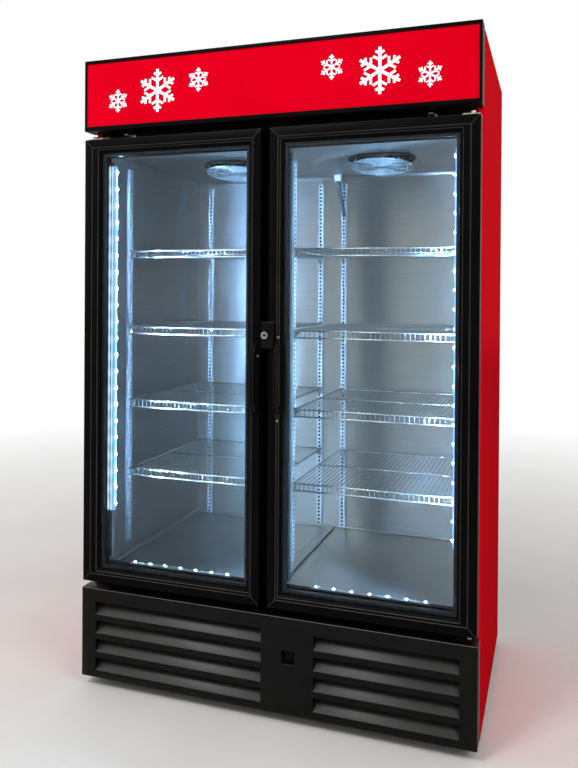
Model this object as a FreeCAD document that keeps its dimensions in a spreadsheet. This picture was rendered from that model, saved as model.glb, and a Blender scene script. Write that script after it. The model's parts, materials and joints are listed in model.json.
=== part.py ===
import FreeCAD, Part
import math
import os
import Sketcher

# Two-door upright glass door cooler, modelled in millimetres.  Z is up, the floor is Z = 0 and the doors
# face -Y.  X = 0 is the middle of the cabinet and Y = 0 the middle of its depth, handles included.

Vector = FreeCAD.Vector
Rotation = FreeCAD.Rotation

# Driving dimensions, in millimetres unless a name says otherwise
SIZES = {
    # Cabinet shell
    "cabinet_width": 1240,
    "cabinet_height": 1996,
    "cabinet_depth": 725,
    "skin": 1.5,
    "liner_sheet": 1,
    "front_edge_radius": 20,
    "front_return": 2,
    "side_wall": 50,
    "rear_wall": 50,
    "top_wall": 65,
    "floor_wall": 51,
    "panel_ground_gap": 20,
    "interior_floor": 364,
    "sill_lip": 20,
    "opening_top": 1700,
    "rear_vent_width": 90,
    "rear_vent_height": 8,
    "rear_vent_pitch": 26,
    "rear_vent_rows": 6,
    "rear_vent_columns": 6,
    "rear_vent_step": 150,
    "rear_vent_bottom": 110,
    # Doors
    "door_thickness": 45,
    "door_height": 1410,
    "door_bottom": 338,
    "door_side_inset": 3,
    "door_gap": 28,
    "rail_width": 43,
    "latch_stile_width": 42,
    "hinge_stile_width": 56,
    "frame_flat_share": 0.6,
    "frame_bevel_depth": 9,
    "glazing_front": 12,
    "glazing_channel": 24,
    "glazing_bite": 12,
    "glass_edge_gap": 1,
    "pane": 4,
    "spacer_inset": 3,
    "spacer_show": 9,
    "gasket_depth": 14,
    "gasket_width": 18,
    "gasket_hinge_inset": 26,
    "gasket_latch_inset": 6,
    "gasket_rail_inset": 18,
    "seal_gap": 0.3,
    # Hinges
    "hinge_inset": 22,
    "hinge_pin_radius": 5,
    "hinge_pin_length": 24,
    "running_clearance": 0.05,
    "bush_radius": 8,
    "bush_depth": 28,
    "bush_flange_radius": 11,
    "bush_flange": 2,
    "bracket_plate": 3,
    "bracket_width": 40,
    "bracket_foot_height": 14,
    # Handles and lock
    "handle_height": 204,
    "handle_middle": 1012,
    "left_handle_inset": 15,
    "right_handle_inset": 31,
    "handle_reach": 40,
    "handle_bar_radius": 6.5,
    "handle_foot_width": 20,
    "handle_foot_height": 26,
    "handle_foot_depth": 12,
    "lock_width": 40,
    "lock_overhang": 20,
    "lock_height": 78,
    "lock_depth": 12,
    "lock_axis_height": 1139,
    "lock_cylinder_radius": 7,
    "lock_cylinder_proud": 2,
    "lock_cylinder_tail": 12,
    "lock_cam_length": 13.5,
    "lock_cam_width": 9,
    "lock_cam_sheet": 3,
    "lock_axis_offset": 9,
    "keeper_lip": 6,
    "keeper_door_gap": 1.5,
    "keeper_sheet": 2.5,
    "keeper_height": 30,
    "keeper_play": 1,
    # Sign
    "sign_top": 2000,
    "sign_height": 224,
    "sign_side_lip": 8,
    "sign_top_lip": 11,
    "sign_bottom_lip": 14,
    "sign_lip_sheet": 3,
    "sign_frame_depth": 20,
    "sign_frame_wall": 4,
    "sign_panel_sheet": 3,
    "sign_wall": 1.5,
    "sign_light_height": 24,
    "sign_light_depth": 12,
    "sign_light_margin": 60,
    "sign_light_spread": 90,
    # Grille
    "grille_bottom": 32,
    "grille_top": 315,
    "grille_sheet": 2,
    "louvre_height": 40,
    "louvre_pitch": 59.3,
    "louvre_top_margin": 42,
    "louvre_count": 4,
    "louvre_depth": 28,
    "louvre_rise": 33,
    "louvre_blade": 2,
    "left_louvre_start": -569,
    "left_louvre_end": -5,
    "right_louvre_start": 157,
    "right_louvre_end": 572,
    "control_hole": 40,
    "control_hole_x": 80,
    "control_hole_z": 199,
    "thermostat_width": 62,
    "thermostat_depth": 48,
    "dial_recess": 22,
    "dial_radius": 13,
    "dial_height": 9,
    "dial_stem_radius": 3,
    "dial_stem_length": 12,
    "dial_gap": 0.5,
    # Base and feet
    "base_plate": 3,
    "base_height": 23,
    "foot_pad_radius": 22,
    "foot_pad_height": 9,
    "foot_stud_radius": 5,
    "foot_stud_above": 14,
    "foot_nut_radius": 9,
    "foot_nut_height": 8,
    "foot_inset": 70,
    # Mullion and shelves
    "mullion_width": 84,
    "web_width": 40,
    "web_depth": 120,
    "pilaster_width": 20,
    "pilaster_depth": 12,
    "pilaster_sheet": 1.5,
    "pilaster_top": 1680,
    "front_pilaster_length": 1264,
    "rear_pilaster_length": 1308,
    "slot_width": 4,
    "slot_height": 13,
    "slot_pitch": 25.4,
    "slot_margin": 14,
    "rear_pilaster_out": 510,
    "rear_pilaster_in": 46,
    "shelf_setback": 86,
    "shelf_end_gap": 2,
    "front_pilaster_offset": 22,
    "shelf_level_a": 671,
    "shelf_level_b": 903,
    "shelf_level_c": 1150,
    "shelf_level_d": 1406,
    "shelf_wire_radius": 1.5,
    "shelf_rod_radius": 2.5,
    "weld_bite": 0.6,
    "shelf_wire_count": 24,
    "shelf_truss_drop": 22,
    "shelf_seat_gap": 0.2,
    "clip_reach": 20,
    "clip_height": 22,
    "clip_width": 10,
    "clip_nose": 5,
    # Ceiling cover, fans and coil
    "ceiling": 1712,
    "cover_sheet": 1.5,
    "cover_setback": 15,
    "fan_x": 262,
    "fan_depth": 395,
    "fan_hole_radius": 96,
    "guard_radius": 102,
    "guard_drop": 18,
    "guard_wire_radius": 1.5,
    "guard_spoke_radius": 1.8,
    "guard_rings": 7,
    "guard_leg_gap": 5,
    "blade_tip_radius": 88,
    "blade_width": 46,
    "blade_sheet": 1.5,
    "blade_pitch_degrees": 26,
    "blade_count": 5,
    "fan_hub_radius": 20,
    "fan_hub_height": 26,
    "fan_hub_lift": 10,
    "motor_radius": 38,
    "motor_height": 55,
    "motor_gap": 6,
    "motor_shaft_radius": 4,
    "motor_strap_width": 22,
    "motor_strap": 3,
    "motor_strap_reach": 112,
    "coil_half_width": 470,
    "coil_depth": 150,
    "coil_rear_gap": 30,
    "coil_height": 170,
    "fin_sheet": 1.2,
    "coil_fin_pitch": 38,
    "coil_tube_radius": 5,
    "coil_tube_overhang": 14,
    "coil_rows": 4,
    "drain_x": 26,
    "drain_rear_gap": 40,
    "drain_cup_radius": 15,
    "drain_cup_height": 22,
    "drain_tube_radius": 8,
    "drain_tube_drop": 150,
    # Lights
    "led_depth": 16,
    "led_height": 18,
    "led_front_gap": 2,
    "led_end_gap": 16,
    "sill_led_length": 350,
    "sill_led_height": 8,
    # Condensing unit
    "condenser_x": -310,
    "condenser_width": 380,
    "condenser_height": 200,
    "condenser_depth": 60,
    "condenser_setback": 40,
    "condenser_fin_pitch": 27,
    "condenser_rows": 4,
    "shroud_depth": 40,
    "shroud_sheet": 2,
    "condenser_fan_hole_radius": 92,
    "condenser_blade_tip": 86,
    "condenser_blade_width": 44,
    "condenser_motor_radius": 40,
    "condenser_motor_length": 70,
    "compressor_x": 40,
    "compressor_rear_gap": 190,
    "compressor_radius": 88,
    "compressor_height": 190,
    "compressor_dome": 45,
    "compressor_plate_width": 230,
    "compressor_plate": 4,
    "grommet_radius": 14,
    "grommet_height": 16,
    "grommet_inset": 22,
    "pan_x": 380,
    "pan_width": 320,
    "pan_depth": 300,
    "pan_height": 60,
    "pan_wall": 2.5,
    "pan_rear_gap": 60,
    "line_radius": 5,
    "line_joint": 0.6,
    "line_rise": 30,
    "inlet_x": 470,
    "inlet_height": 74,
    "inlet_radius": 14,
    "inlet_flange_radius": 20,
    "inlet_flange": 4,
    "inlet_depth": 22,
    "inlet_bore_radius": 5,
    # Room left for cutting tools beyond a face
    "overcut": 5,
}

# Places that follow from the driving dimensions
PLACES = {
    "half_width": "Size.cabinet_width / 2",
    "total_depth": "Size.handle_reach + Size.door_thickness + Size.gasket_depth + Size.seal_gap"
                   " + Size.cabinet_depth",
    "door_front": "Size.handle_reach - total_depth / 2",
    "door_back": "door_front + Size.door_thickness",
    "cabinet_front": "door_back + Size.gasket_depth + Size.seal_gap",
    "cabinet_back": "cabinet_front + Size.cabinet_depth",
    "foam_front": "cabinet_front + Size.front_edge_radius",
    "foam_back": "cabinet_back - Size.skin",
    "foam_half": "half_width - Size.skin",
    "face_half": "half_width - Size.front_edge_radius - Size.front_return",
    "inner_half": "half_width - Size.side_wall",
    "inner_back": "cabinet_back - Size.rear_wall",
    "inner_top": "Size.cabinet_height - Size.top_wall",
    "shell_top": "Size.cabinet_height - Size.skin",
    "compartment_top": "Size.interior_floor - Size.floor_wall",
    "opening_bottom": "Size.interior_floor + Size.sill_lip",
    "door_top": "Size.door_bottom + Size.door_height",
    "door_latch": "Size.door_gap / 2",
    "door_hinge_edge": "half_width - Size.door_side_inset",
    "door_width": "door_hinge_edge - door_latch",
    "hinge_x": "door_hinge_edge - Size.hinge_inset",
    "hinge_y": "door_front + Size.door_thickness / 2",
    "glass_edge": "Size.glass_edge_gap - Size.glazing_bite",
    "glazing_front": "door_front + Size.glazing_front",
    "glazing_back": "glazing_front + Size.glazing_channel",
    "base_bottom": "Size.panel_ground_gap",
    "base_top": "base_bottom + Size.base_height",
    "sign_bottom": "Size.sign_top - Size.sign_height",
    "sign_frame_back": "door_front + Size.sign_frame_depth",
    "grille_back": "door_front + Size.grille_sheet",
    "web_back": "foam_front + Size.web_depth",
    "pilaster_face_out": "inner_half - Size.pilaster_depth",
    "pilaster_face_in": "Size.web_width / 2 + Size.pilaster_depth",
    "shelf_front": "foam_front + Size.shelf_setback",
    "shelf_back": "inner_back - Size.pilaster_depth - Size.shelf_end_gap",
    "shelf_depth": "shelf_back - shelf_front",
    "shelf_width": "pilaster_face_out - pilaster_face_in - 2 * Size.shelf_end_gap",
    "shelf_middle": "(pilaster_face_out + pilaster_face_in) / 2",
    "shelf_rod_drop": "2 * Size.shelf_wire_radius + Size.shelf_rod_radius - Size.weld_bite",
    "clip_drop": "shelf_rod_drop + Size.shelf_rod_radius + Size.shelf_seat_gap",
    "front_pilaster_y": "shelf_front + Size.front_pilaster_offset",
    "cover_front": "foam_front + Size.cover_setback",
    "cover_top": "Size.ceiling + Size.cover_sheet",
    "fan_y": "door_front + Size.fan_depth",
    "fan_hub_bottom": "Size.ceiling + Size.fan_hub_lift",
    "motor_bottom": "fan_hub_bottom + Size.fan_hub_height + Size.motor_gap",
    "motor_top": "motor_bottom + Size.motor_height",
    "coil_back": "inner_back - Size.coil_rear_gap",
    "coil_front": "coil_back - Size.coil_depth",
    "drain_y": "inner_back - Size.drain_rear_gap",
    "drain_bottom": "Size.ceiling - Size.drain_tube_drop",
    "condenser_front": "foam_front + Size.condenser_setback",
    "condenser_back": "condenser_front + Size.condenser_depth",
    "condenser_top": "base_top + Size.condenser_height",
    "condenser_left": "Size.condenser_x - Size.condenser_width / 2",
    "condenser_right": "Size.condenser_x + Size.condenser_width / 2",
    "shroud_back": "condenser_back + Size.shroud_depth",
    "condenser_fan_z": "base_top + Size.condenser_height / 2",
    "condenser_hub_front": "shroud_back - Size.shroud_sheet - Size.fan_hub_height / 2",
    "condenser_motor_front": "condenser_hub_front + Size.fan_hub_height + Size.motor_gap",
    "condenser_motor_back": "condenser_motor_front + Size.condenser_motor_length",
    "compressor_y": "cabinet_back - Size.compressor_rear_gap",
    "compressor_bottom": "base_top + Size.grommet_height",
    "compressor_shell": "compressor_bottom + Size.compressor_plate",
    "pan_back": "cabinet_back - Size.pan_rear_gap",
    "lock_left": "door_latch - Size.lock_overhang",
    "lock_axis_x": "door_latch - Size.lock_axis_offset",
    "lock_face": "door_front - Size.lock_depth",
    "lock_tail": "door_front + Size.lock_cylinder_tail",
    "cam_back": "lock_tail + Size.lock_cam_sheet",
    "keeper_left": "Size.keeper_door_gap - door_latch",
    "keeper_inside": "keeper_left + Size.keeper_sheet",
    "foot_x": "foam_half - Size.foot_inset",
    "foot_front_y": "foam_front + Size.foot_inset",
    "foot_back_y": "foam_back - Size.foot_inset",
}

doc = FreeCAD.newDocument("glass_door_cooler")
PARTS = []


def fill_sheet(name, cells):
    """Write one row for each cell: its name in column A, and its value in column B under that alias."""
    sheet = doc.addObject("Spreadsheet::Sheet", name)
    for row, (alias, content) in enumerate(cells.items(), start=1):
        sheet.set(f"A{row}", alias)
        sheet.set(f"B{row}", content)
        sheet.setAlias(f"B{row}", alias)
    doc.recompute()
    return sheet


size_sheet = fill_sheet("Size", {alias: str(value) for alias, value in SIZES.items()})
place_sheet = fill_sheet("Place", {alias: "=" + formula for alias, formula in PLACES.items()})


def value(formula):
    """The number that a formula gives for the sizes in the sheets."""
    return float(place_sheet.evalExpression(formula))


def bind(feature, **formulas):
    """Tie properties of a feature to formulas; x, y and z are the feature's place."""
    for name, formula in formulas.items():
        path = "Placement.Base." + name if name in ("x", "y", "z") else name
        feature.setExpression(path, formula)
    return feature


def part(label, feature):
    """Name a finished sub-part and add it to the list of pieces that are written out."""
    feature.Label = label
    PARTS.append(feature)
    return feature


def block(name, across, deep, tall):
    """A box between two faces along X, Y and Z, each a pair of formulas."""
    feature = doc.addObject("Part::Box", name)
    return bind(feature,
                x=across[0], y=deep[0], z=tall[0],
                Length=f"({across[1]}) - ({across[0]})",
                Width=f"({deep[1]}) - ({deep[0]})",
                Height=f"({tall[1]}) - ({tall[0]})")


ALONG = {"x": Rotation(Vector(0, 1, 0), 90), "y": Rotation(Vector(1, 0, 0), -90), "z": Rotation()}


def rod(name, axis, radius, low, high, first, second):
    """A cylinder along an axis from low to high; first and second place the other two axes in order."""
    feature = doc.addObject("Part::Cylinder", name)
    feature.Placement = FreeCAD.Placement(Vector(), ALONG[axis])
    others = [letter for letter in "xyz" if letter != axis]
    return bind(feature, Radius=radius, Height=f"({high}) - ({low})",
                **{axis: low, others[0]: first, others[1]: second})


def slanted(name, across, deep, front_tall, back_tall):
    """A prism along X whose front face and back face stand at different heights."""
    feature = doc.addObject("Part::Wedge", name)
    return bind(feature,
                Xmin=across[0], Xmax=across[1], X2min=across[0], X2max=across[1],
                Ymin=deep[0], Ymax=deep[1],
                Zmin=front_tall[0], Zmax=front_tall[1], Z2min=back_tall[0], Z2max=back_tall[1])


def joined(name, pieces):
    """Pieces welded into one solid."""
    feature = doc.addObject("Part::MultiFuse", name)
    feature.Shapes = pieces
    feature.Refine = True
    return feature


def cut(name, base, tools):
    """A piece with the tools taken out of it."""
    feature = doc.addObject("Part::Cut", name)
    feature.Base = base
    feature.Tool = tools[0] if len(tools) == 1 else joined(name + "_tools", tools)
    feature.Refine = True
    return feature


def group(name, pieces):
    """Separate pieces kept together as one sub-part."""
    feature = doc.addObject("Part::Compound", name)
    feature.Links = pieces
    return feature


def placed(name, source, x="0", y="0", z="0", turn=Rotation()):
    """A copy of a piece, turned and set in its place."""
    feature = group(name, [source])
    feature.Placement = FreeCAD.Placement(Vector(), turn)
    return bind(feature, x=x, y=y, z=z)


def outline(body, name, role, corners):
    """A closed sketch of straight lines on an origin plane, each corner tied to a pair of formulas."""
    sketch = body.newObject("Sketcher::SketchObject", name)
    plane = next(feature for feature in body.Origin.OriginFeatures if feature.Role == role)
    sketch.AttachmentSupport = [(plane, "")]
    sketch.MapMode = "FlatFace"
    points = [Vector(value(first), value(second), 0) for first, second in corners]
    for index, point in enumerate(points):
        following = points[(index + 1) % len(points)]
        sketch.addGeometry(Part.LineSegment(point, following), False)
    for index, corner in enumerate(corners):
        following = (index + 1) % len(corners)
        sketch.addConstraint(Sketcher.Constraint("Coincident", index, 2, following, 1))
        for kind, formula, distance in zip(("DistanceX", "DistanceY"), corner, points[index]):
            tied = sketch.addConstraint(Sketcher.Constraint(kind, -1, 1, index, 1, distance))
            sketch.setExpression(f"Constraints[{tied}]", formula)
    return sketch


def pad(body, sketch, length):
    """A sketch drawn out along its normal."""
    feature = body.newObject("PartDesign::Pad", sketch.Name + "_pad")
    feature.Profile = sketch
    sketch.Visibility = False
    return bind(feature, Length=length)


def pocket_through(body, sketch):
    """A sketch cut right through the body."""
    feature = body.newObject("PartDesign::Pocket", sketch.Name + "_pocket")
    feature.Profile = sketch
    feature.Type = "ThroughAll"
    return feature


def turned(body, sketch):
    """A sketch turned once around its vertical axis."""
    feature = body.newObject("PartDesign::Revolution", sketch.Name + "_turned")
    feature.Profile = sketch
    feature.ReferenceAxis = (sketch, ["V_Axis"])
    feature.Angle = 360
    return feature


def both_ways(formula):
    """The span from minus a half width to plus the same half width."""
    return (f"-({formula})", formula)


def to_side(span, side):
    """A span written for the right side, taken over to the left side where side is -1."""
    if side > 0:
        return span
    return (f"-({span[1]})", f"-({span[0]})")


def signed(formula, side):
    """A place written for the right side, taken over to the left side where side is -1."""
    return formula if side > 0 else f"-({formula})"


SIDES = {"left": -1, "right": 1}
FRONT_TO_FOAM = ("Place.cabinet_front", "Place.foam_front")


# Outer shell
def side_panel(label, side):
    """A painted sheet with a rounded front edge and a short return on to the front."""
    tall = ("Size.panel_ground_gap", "Size.cabinet_height")
    sheet = block(label + "_sheet", to_side(("Place.foam_half", "Place.half_width"), side),
                  ("Place.foam_front", "Place.cabinet_back"), tall)
    front_return = block(label + "_return",
                         to_side(("Place.face_half", "Place.half_width - Size.front_edge_radius"), side),
                         ("Place.cabinet_front", "Place.cabinet_front + Size.skin"), tall)
    bends = []
    for name, radius in (("outer", "Size.front_edge_radius"),
                         ("inner", "Size.front_edge_radius - Size.skin")):
        bend = rod(f"{label}_{name}_bend", "z", radius, *tall,
                   signed("Place.half_width - Size.front_edge_radius", side), "Place.foam_front")
        bend.Angle = 90
        bend.Placement = FreeCAD.Placement(Vector(), Rotation(Vector(0, 0, 1), 270 if side > 0 else 180))
        bends.append(bend)
    edge = cut(label + "_edge", bends[0], [bends[1]])
    part(label, joined(label, [sheet, edge, front_return]))


def top_panel():
    """The flat lid of the shell, let into the rounded front edges."""
    tall = ("Place.shell_top", "Size.cabinet_height")
    pieces = [
        block("top_sheet", both_ways("Place.foam_half"), ("Place.foam_front", "Place.cabinet_back"), tall),
        block("top_front_strip", both_ways("Place.half_width - Size.front_edge_radius"), FRONT_TO_FOAM, tall),
    ]
    notches = []
    for name, side in SIDES.items():
        corner = rod(f"top_{name}_corner", "z", "Size.front_edge_radius - Size.skin", *tall,
                     signed("Place.half_width - Size.front_edge_radius", side), "Place.foam_front")
        corner.Angle = 90
        corner.Placement = FreeCAD.Placement(Vector(), Rotation(Vector(0, 0, 1), 270 if side > 0 else 180))
        pieces.append(corner)
        notches.append(block(f"top_{name}_notch",
                             to_side(("Place.face_half", "Place.half_width - Size.front_edge_radius"), side),
                             ("Place.cabinet_front - Size.overcut", "Place.cabinet_front + Size.skin"),
                             ("Place.shell_top - Size.overcut", "Size.cabinet_height + Size.overcut")))
    part("top_panel", cut("top_panel", joined("top_blank", pieces), notches))


def back_panel():
    """The rear sheet with rows of vents behind the condensing unit and a hole for the power inlet."""
    sheet = block("back_sheet", both_ways("Place.foam_half"), ("Place.foam_back", "Place.cabinet_back"),
                  ("Place.base_top", "Place.shell_top"))
    through = ("Place.foam_back - Size.overcut", "Place.cabinet_back + Size.overcut")
    tools = []
    columns = int(value("Size.rear_vent_columns"))
    for row in range(int(value("Size.rear_vent_rows"))):
        bottom = f"Size.rear_vent_bottom + {row} * Size.rear_vent_pitch"
        for column in range(columns):
            middle = f"{column - (columns - 1) / 2} * Size.rear_vent_step"
            tools.append(block(f"rear_vent_{row}_{column}",
                               (f"{middle} - Size.rear_vent_width / 2",
                                f"{middle} + Size.rear_vent_width / 2"),
                               through, (bottom, f"{bottom} + Size.rear_vent_height")))
    tools.append(rod("inlet_hole", "y", "Size.inlet_radius", *through, "Size.inlet_x", "Size.inlet_height"))
    part("back_panel", cut("back_panel", sheet, tools))


def insulation_and_liner():
    """The foam walls and the folded steel liner that faces them on the inside."""
    foam = block("foam_block", both_ways("Place.foam_half"), ("Place.foam_front", "Place.foam_back"),
                 ("Place.compartment_top", "Place.shell_top"))
    liner_span = (both_ways("Place.inner_half + Size.liner_sheet"),
                  ("Place.foam_front", "Place.inner_back + Size.liner_sheet"),
                  ("Size.interior_floor - Size.liner_sheet", "Place.inner_top + Size.liner_sheet"))
    hollow = block("foam_hollow", *liner_span)
    part("cabinet_foam", cut("cabinet_foam", foam, [hollow]))
    liner = block("liner_block", *liner_span)
    inside = block("liner_inside", both_ways("Place.inner_half"),
                   ("Place.foam_front - Size.overcut", "Place.inner_back"),
                   ("Size.interior_floor", "Place.inner_top"))
    part("inner_liner", cut("inner_liner", liner, [inside]))


def front_frame():
    """The face that the doors close against, with one opening across both bays."""
    face = block("face_block", both_ways("Place.face_half"), FRONT_TO_FOAM,
                 ("Place.compartment_top", "Place.shell_top"))
    opening = block("face_opening", both_ways("Place.inner_half"),
                    ("Place.cabinet_front - Size.overcut", "Place.foam_front + Size.overcut"),
                    ("Place.opening_bottom", "Size.opening_top"))
    part("front_frame", cut("front_frame", face, [opening]))


def center_mullion():
    """The post between the bays: a wide face for the gaskets and a narrow web for the pilasters."""
    face = block("mullion_face", both_ways("Size.mullion_width / 2"), FRONT_TO_FOAM,
                 ("Place.opening_bottom", "Size.opening_top"))
    web = block("mullion_web", both_ways("Size.web_width / 2"), ("Place.foam_front", "Place.web_back"),
                ("Size.interior_floor", "Size.ceiling"))
    part("center_mullion", joined("center_mullion", [face, web]))


# Base
def base_and_feet():
    """A folded steel tray under the condensing unit, on four levelling feet."""
    tray = block("base_block", both_ways("Place.foam_half"), ("Place.foam_front", "Place.foam_back"),
                 ("Place.base_bottom", "Place.base_top"))
    plate_bottom = "Place.base_top - Size.base_plate"
    hollow = block("base_hollow", both_ways("Place.foam_half - Size.base_plate"),
                   ("Place.foam_front + Size.base_plate", "Place.foam_back - Size.base_plate"),
                   ("Place.base_bottom - Size.overcut", plate_bottom))
    holes = []
    feet = []
    for across, side in SIDES.items():
        for row in ("front", "back"):
            where = (signed("Place.foot_x", side), f"Place.foot_{row}_y")
            name = f"{across}_{row}_foot"
            holes.append(rod(name + "_hole", "z", "Size.foot_stud_radius + Size.running_clearance",
                             f"{plate_bottom} - Size.overcut", "Place.base_top + Size.overcut", *where))
            pad_disc = rod(name + "_pad", "z", "Size.foot_pad_radius", "0", "Size.foot_pad_height", *where)
            stud = rod(name + "_stud", "z", "Size.foot_stud_radius", "0",
                       "Place.base_top + Size.foot_stud_above", *where)
            nut = rod(name + "_nut", "z", "Size.foot_nut_radius", f"{plate_bottom} - Size.foot_nut_height",
                      plate_bottom, *where)
            feet.append(joined(name, [pad_disc, stud, nut]))
    part("base_frame", cut("base_frame", tray, [hollow] + holes))
    part("levelling_feet", group("levelling_feet", feet))


def lower_grille():
    """A folded panel with two groups of sloping louvres and a square hole for the control."""
    pan = block("grille_pan", both_ways("Place.half_width"), ("Place.door_front", "Place.cabinet_front"),
                ("Size.grille_bottom", "Size.grille_top"))
    hollow = block("grille_hollow", both_ways("Place.half_width - Size.grille_sheet"),
                   ("Place.grille_back", "Place.cabinet_front + Size.overcut"),
                   ("Size.grille_bottom + Size.grille_sheet", "Size.grille_top - Size.grille_sheet"))
    through = ("Place.door_front - Size.overcut", "Place.grille_back + Size.overcut")
    half_hole = "Size.control_hole / 2"
    tools = [hollow, block("control_opening",
                           (f"Size.control_hole_x - {half_hole}", f"Size.control_hole_x + {half_hole}"),
                           through,
                           (f"Size.control_hole_z - {half_hole}", f"Size.control_hole_z + {half_hole}"))]
    blades = [block("grille_lower_return", both_ways("Place.face_half - Size.front_return"),
                    ("Place.grille_back", "Place.foam_front"),
                    ("Size.grille_bottom", "Size.grille_bottom + Size.grille_sheet"))]
    blade_back = "Place.door_front + Size.louvre_depth"
    sheet_rise = "Size.louvre_rise * Size.grille_sheet / Size.louvre_depth"
    for bay in SIDES:
        start, end = f"Size.{bay}_louvre_start", f"Size.{bay}_louvre_end"
        for row in range(int(value("Size.louvre_count"))):
            name = f"{bay}_louvre_{row}"
            top = f"Size.grille_top - Size.louvre_top_margin - {row} * Size.louvre_pitch"
            bottom = f"({top} - Size.louvre_height)"
            raised = f"{bottom} + Size.louvre_rise"
            tools.append(block(name + "_opening", (start, end), through, (bottom, top)))
            blades.append(slanted(name + "_blade", (start, end), ("Place.door_front", blade_back),
                                  (f"{bottom} - Size.louvre_blade", bottom),
                                  (f"{raised} - Size.louvre_blade", raised)))
            for end_name, span in (("start", (f"{start} - Size.louvre_blade", start)),
                                   ("end", (end, f"{end} + Size.louvre_blade"))):
                blades.append(slanted(f"{name}_{end_name}", span, ("Place.grille_back", blade_back),
                                      (f"{bottom} + {sheet_rise} - Size.louvre_blade", top),
                                      (f"{raised} - Size.louvre_blade", top)))
    part("lower_grille", joined("lower_grille", [cut("grille_face", pan, tools)] + blades))


def thermostat():
    """The control behind the square hole, with a dial on a stem at the bottom of a recess."""
    half = "Size.thermostat_width / 2"
    body = block("thermostat_block", (f"Size.control_hole_x - {half}", f"Size.control_hole_x + {half}"),
                 ("Place.grille_back", "Place.grille_back + Size.thermostat_depth"),
                 (f"Size.control_hole_z - {half}", f"Size.control_hole_z + {half}"))
    where = ("Size.control_hole_x", "Size.control_hole_z")
    half_hole = "Size.control_hole / 2"
    recess_back = "Place.grille_back + Size.dial_recess"
    recess = block("thermostat_recess", (f"{where[0]} - {half_hole}", f"{where[0]} + {half_hole}"),
                   ("Place.grille_back - Size.overcut", recess_back),
                   (f"{where[1]} - {half_hole}", f"{where[1]} + {half_hole}"))
    dial_back = f"{recess_back} - Size.dial_gap"
    stem_end = f"{recess_back} + Size.dial_stem_length"
    bore = rod("thermostat_bore", "y", "Size.dial_stem_radius + Size.running_clearance",
               "Place.grille_back", f"{stem_end} + Size.dial_gap", *where)
    part("thermostat_body", cut("thermostat_body", body, [recess, bore]))
    dial = rod("dial_disc", "y", "Size.dial_radius", f"{dial_back} - Size.dial_height", dial_back, *where)
    stem = rod("dial_stem", "y", "Size.dial_stem_radius", f"{dial_back} - Size.dial_height / 2", stem_end,
               *where)
    part("thermostat_dial", joined("thermostat_dial", [dial, stem]))


# Sign
def sign():
    """The lit box above the doors: frame, panel, housing and light bars."""
    outer = both_ways("Place.half_width")
    tall = ("Place.sign_bottom", "Size.sign_top")
    frame = block("sign_frame_block", outer, ("Place.door_front", "Place.sign_frame_back"), tall)
    window = block("sign_window", both_ways("Place.half_width - Size.sign_side_lip"),
                   ("Place.door_front - Size.overcut", "Place.sign_frame_back + Size.overcut"),
                   ("Place.sign_bottom + Size.sign_bottom_lip", "Size.sign_top - Size.sign_top_lip"))
    lip_back = "Place.door_front + Size.sign_lip_sheet"
    seat_across = both_ways("Place.half_width - Size.sign_frame_wall")
    seat_tall = ("Place.sign_bottom + Size.sign_frame_wall", "Size.sign_top - Size.sign_frame_wall")
    rebate = block("sign_rebate", seat_across, (lip_back, "Place.sign_frame_back + Size.overcut"), seat_tall)
    part("sign_frame", cut("sign_frame", frame, [window, rebate]))
    part("sign_panel", block("sign_panel", seat_across, (lip_back, f"{lip_back} + Size.sign_panel_sheet"),
                             seat_tall))
    housing = block("sign_housing_block", outer, ("Place.sign_frame_back", "Place.cabinet_front"), tall)
    inside_back = "Place.cabinet_front - Size.sign_wall"
    hollow = block("sign_housing_hollow", both_ways("Place.half_width - Size.sign_wall"),
                   ("Place.sign_frame_back - Size.overcut", inside_back),
                   ("Place.sign_bottom + Size.sign_wall", "Size.sign_top - Size.sign_wall"))
    part("sign_housing", cut("sign_housing", housing, [hollow]))
    bars = []
    middle = "(Place.sign_bottom + Size.sign_top) / 2"
    for name, side in (("lower", -1), ("upper", 1)):
        height = f"{middle} + {side} * Size.sign_light_spread / 2"
        bars.append(block(f"sign_{name}_light", both_ways("Place.half_width - Size.sign_light_margin"),
                          (f"{inside_back} - Size.sign_light_depth", inside_back),
                          (f"{height} - Size.sign_light_height / 2",
                           f"{height} + Size.sign_light_height / 2")))
    part("sign_lights", group("sign_lights", bars))


# Doors
def frame_member(name, widths, length, x, y, z, turn):
    """One mitred door extrusion: a flat face, a bevel and a channel that holds the glass.
    The widths are its own and those of the members that it meets at its start and at its end."""
    body = doc.addObject("PartDesign::Body", name)
    width, start_width, end_width = (f"Size.{which}_width" for which in widths)
    channel = f"{width} - Size.glazing_bite"
    lip_back = "Size.glazing_front + Size.glazing_channel"
    section = outline(body, name + "_section", "XY_Plane", [
        ("0", "0"), (f"{width} * Size.frame_flat_share", "0"),
        (width, "Size.frame_bevel_depth"), (width, "Size.glazing_front"),
        (channel, "Size.glazing_front"), (channel, lip_back), (width, lip_back),
        (width, "Size.door_thickness"), ("0", "Size.door_thickness")])
    pad(body, section, length)
    end_corner = f"({length}) - {end_width}"
    for end, corners in (("low", [("0", "0"), (width, "0"), (width, start_width)]),
                         ("high", [("0", length), (width, end_corner), (width, length)])):
        pocket_through(body, outline(body, f"{name}_{end}_mitre", "XZ_Plane", corners))
    body.Placement = FreeCAD.Placement(Vector(), Rotation(Vector(0, 1, 0), turn))
    return bind(body, x=x, y=y, z=z)


def ring(name, across, deep, tall, across_inside, tall_inside):
    """A rectangular ring through the whole of its depth."""
    outer = block(name + "_outer", across, deep, tall)
    inner = block(name + "_inner", across_inside,
                  (f"{deep[0]} - Size.overcut", f"{deep[1]} + Size.overcut"), tall_inside)
    return cut(name, outer, [inner])


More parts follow.
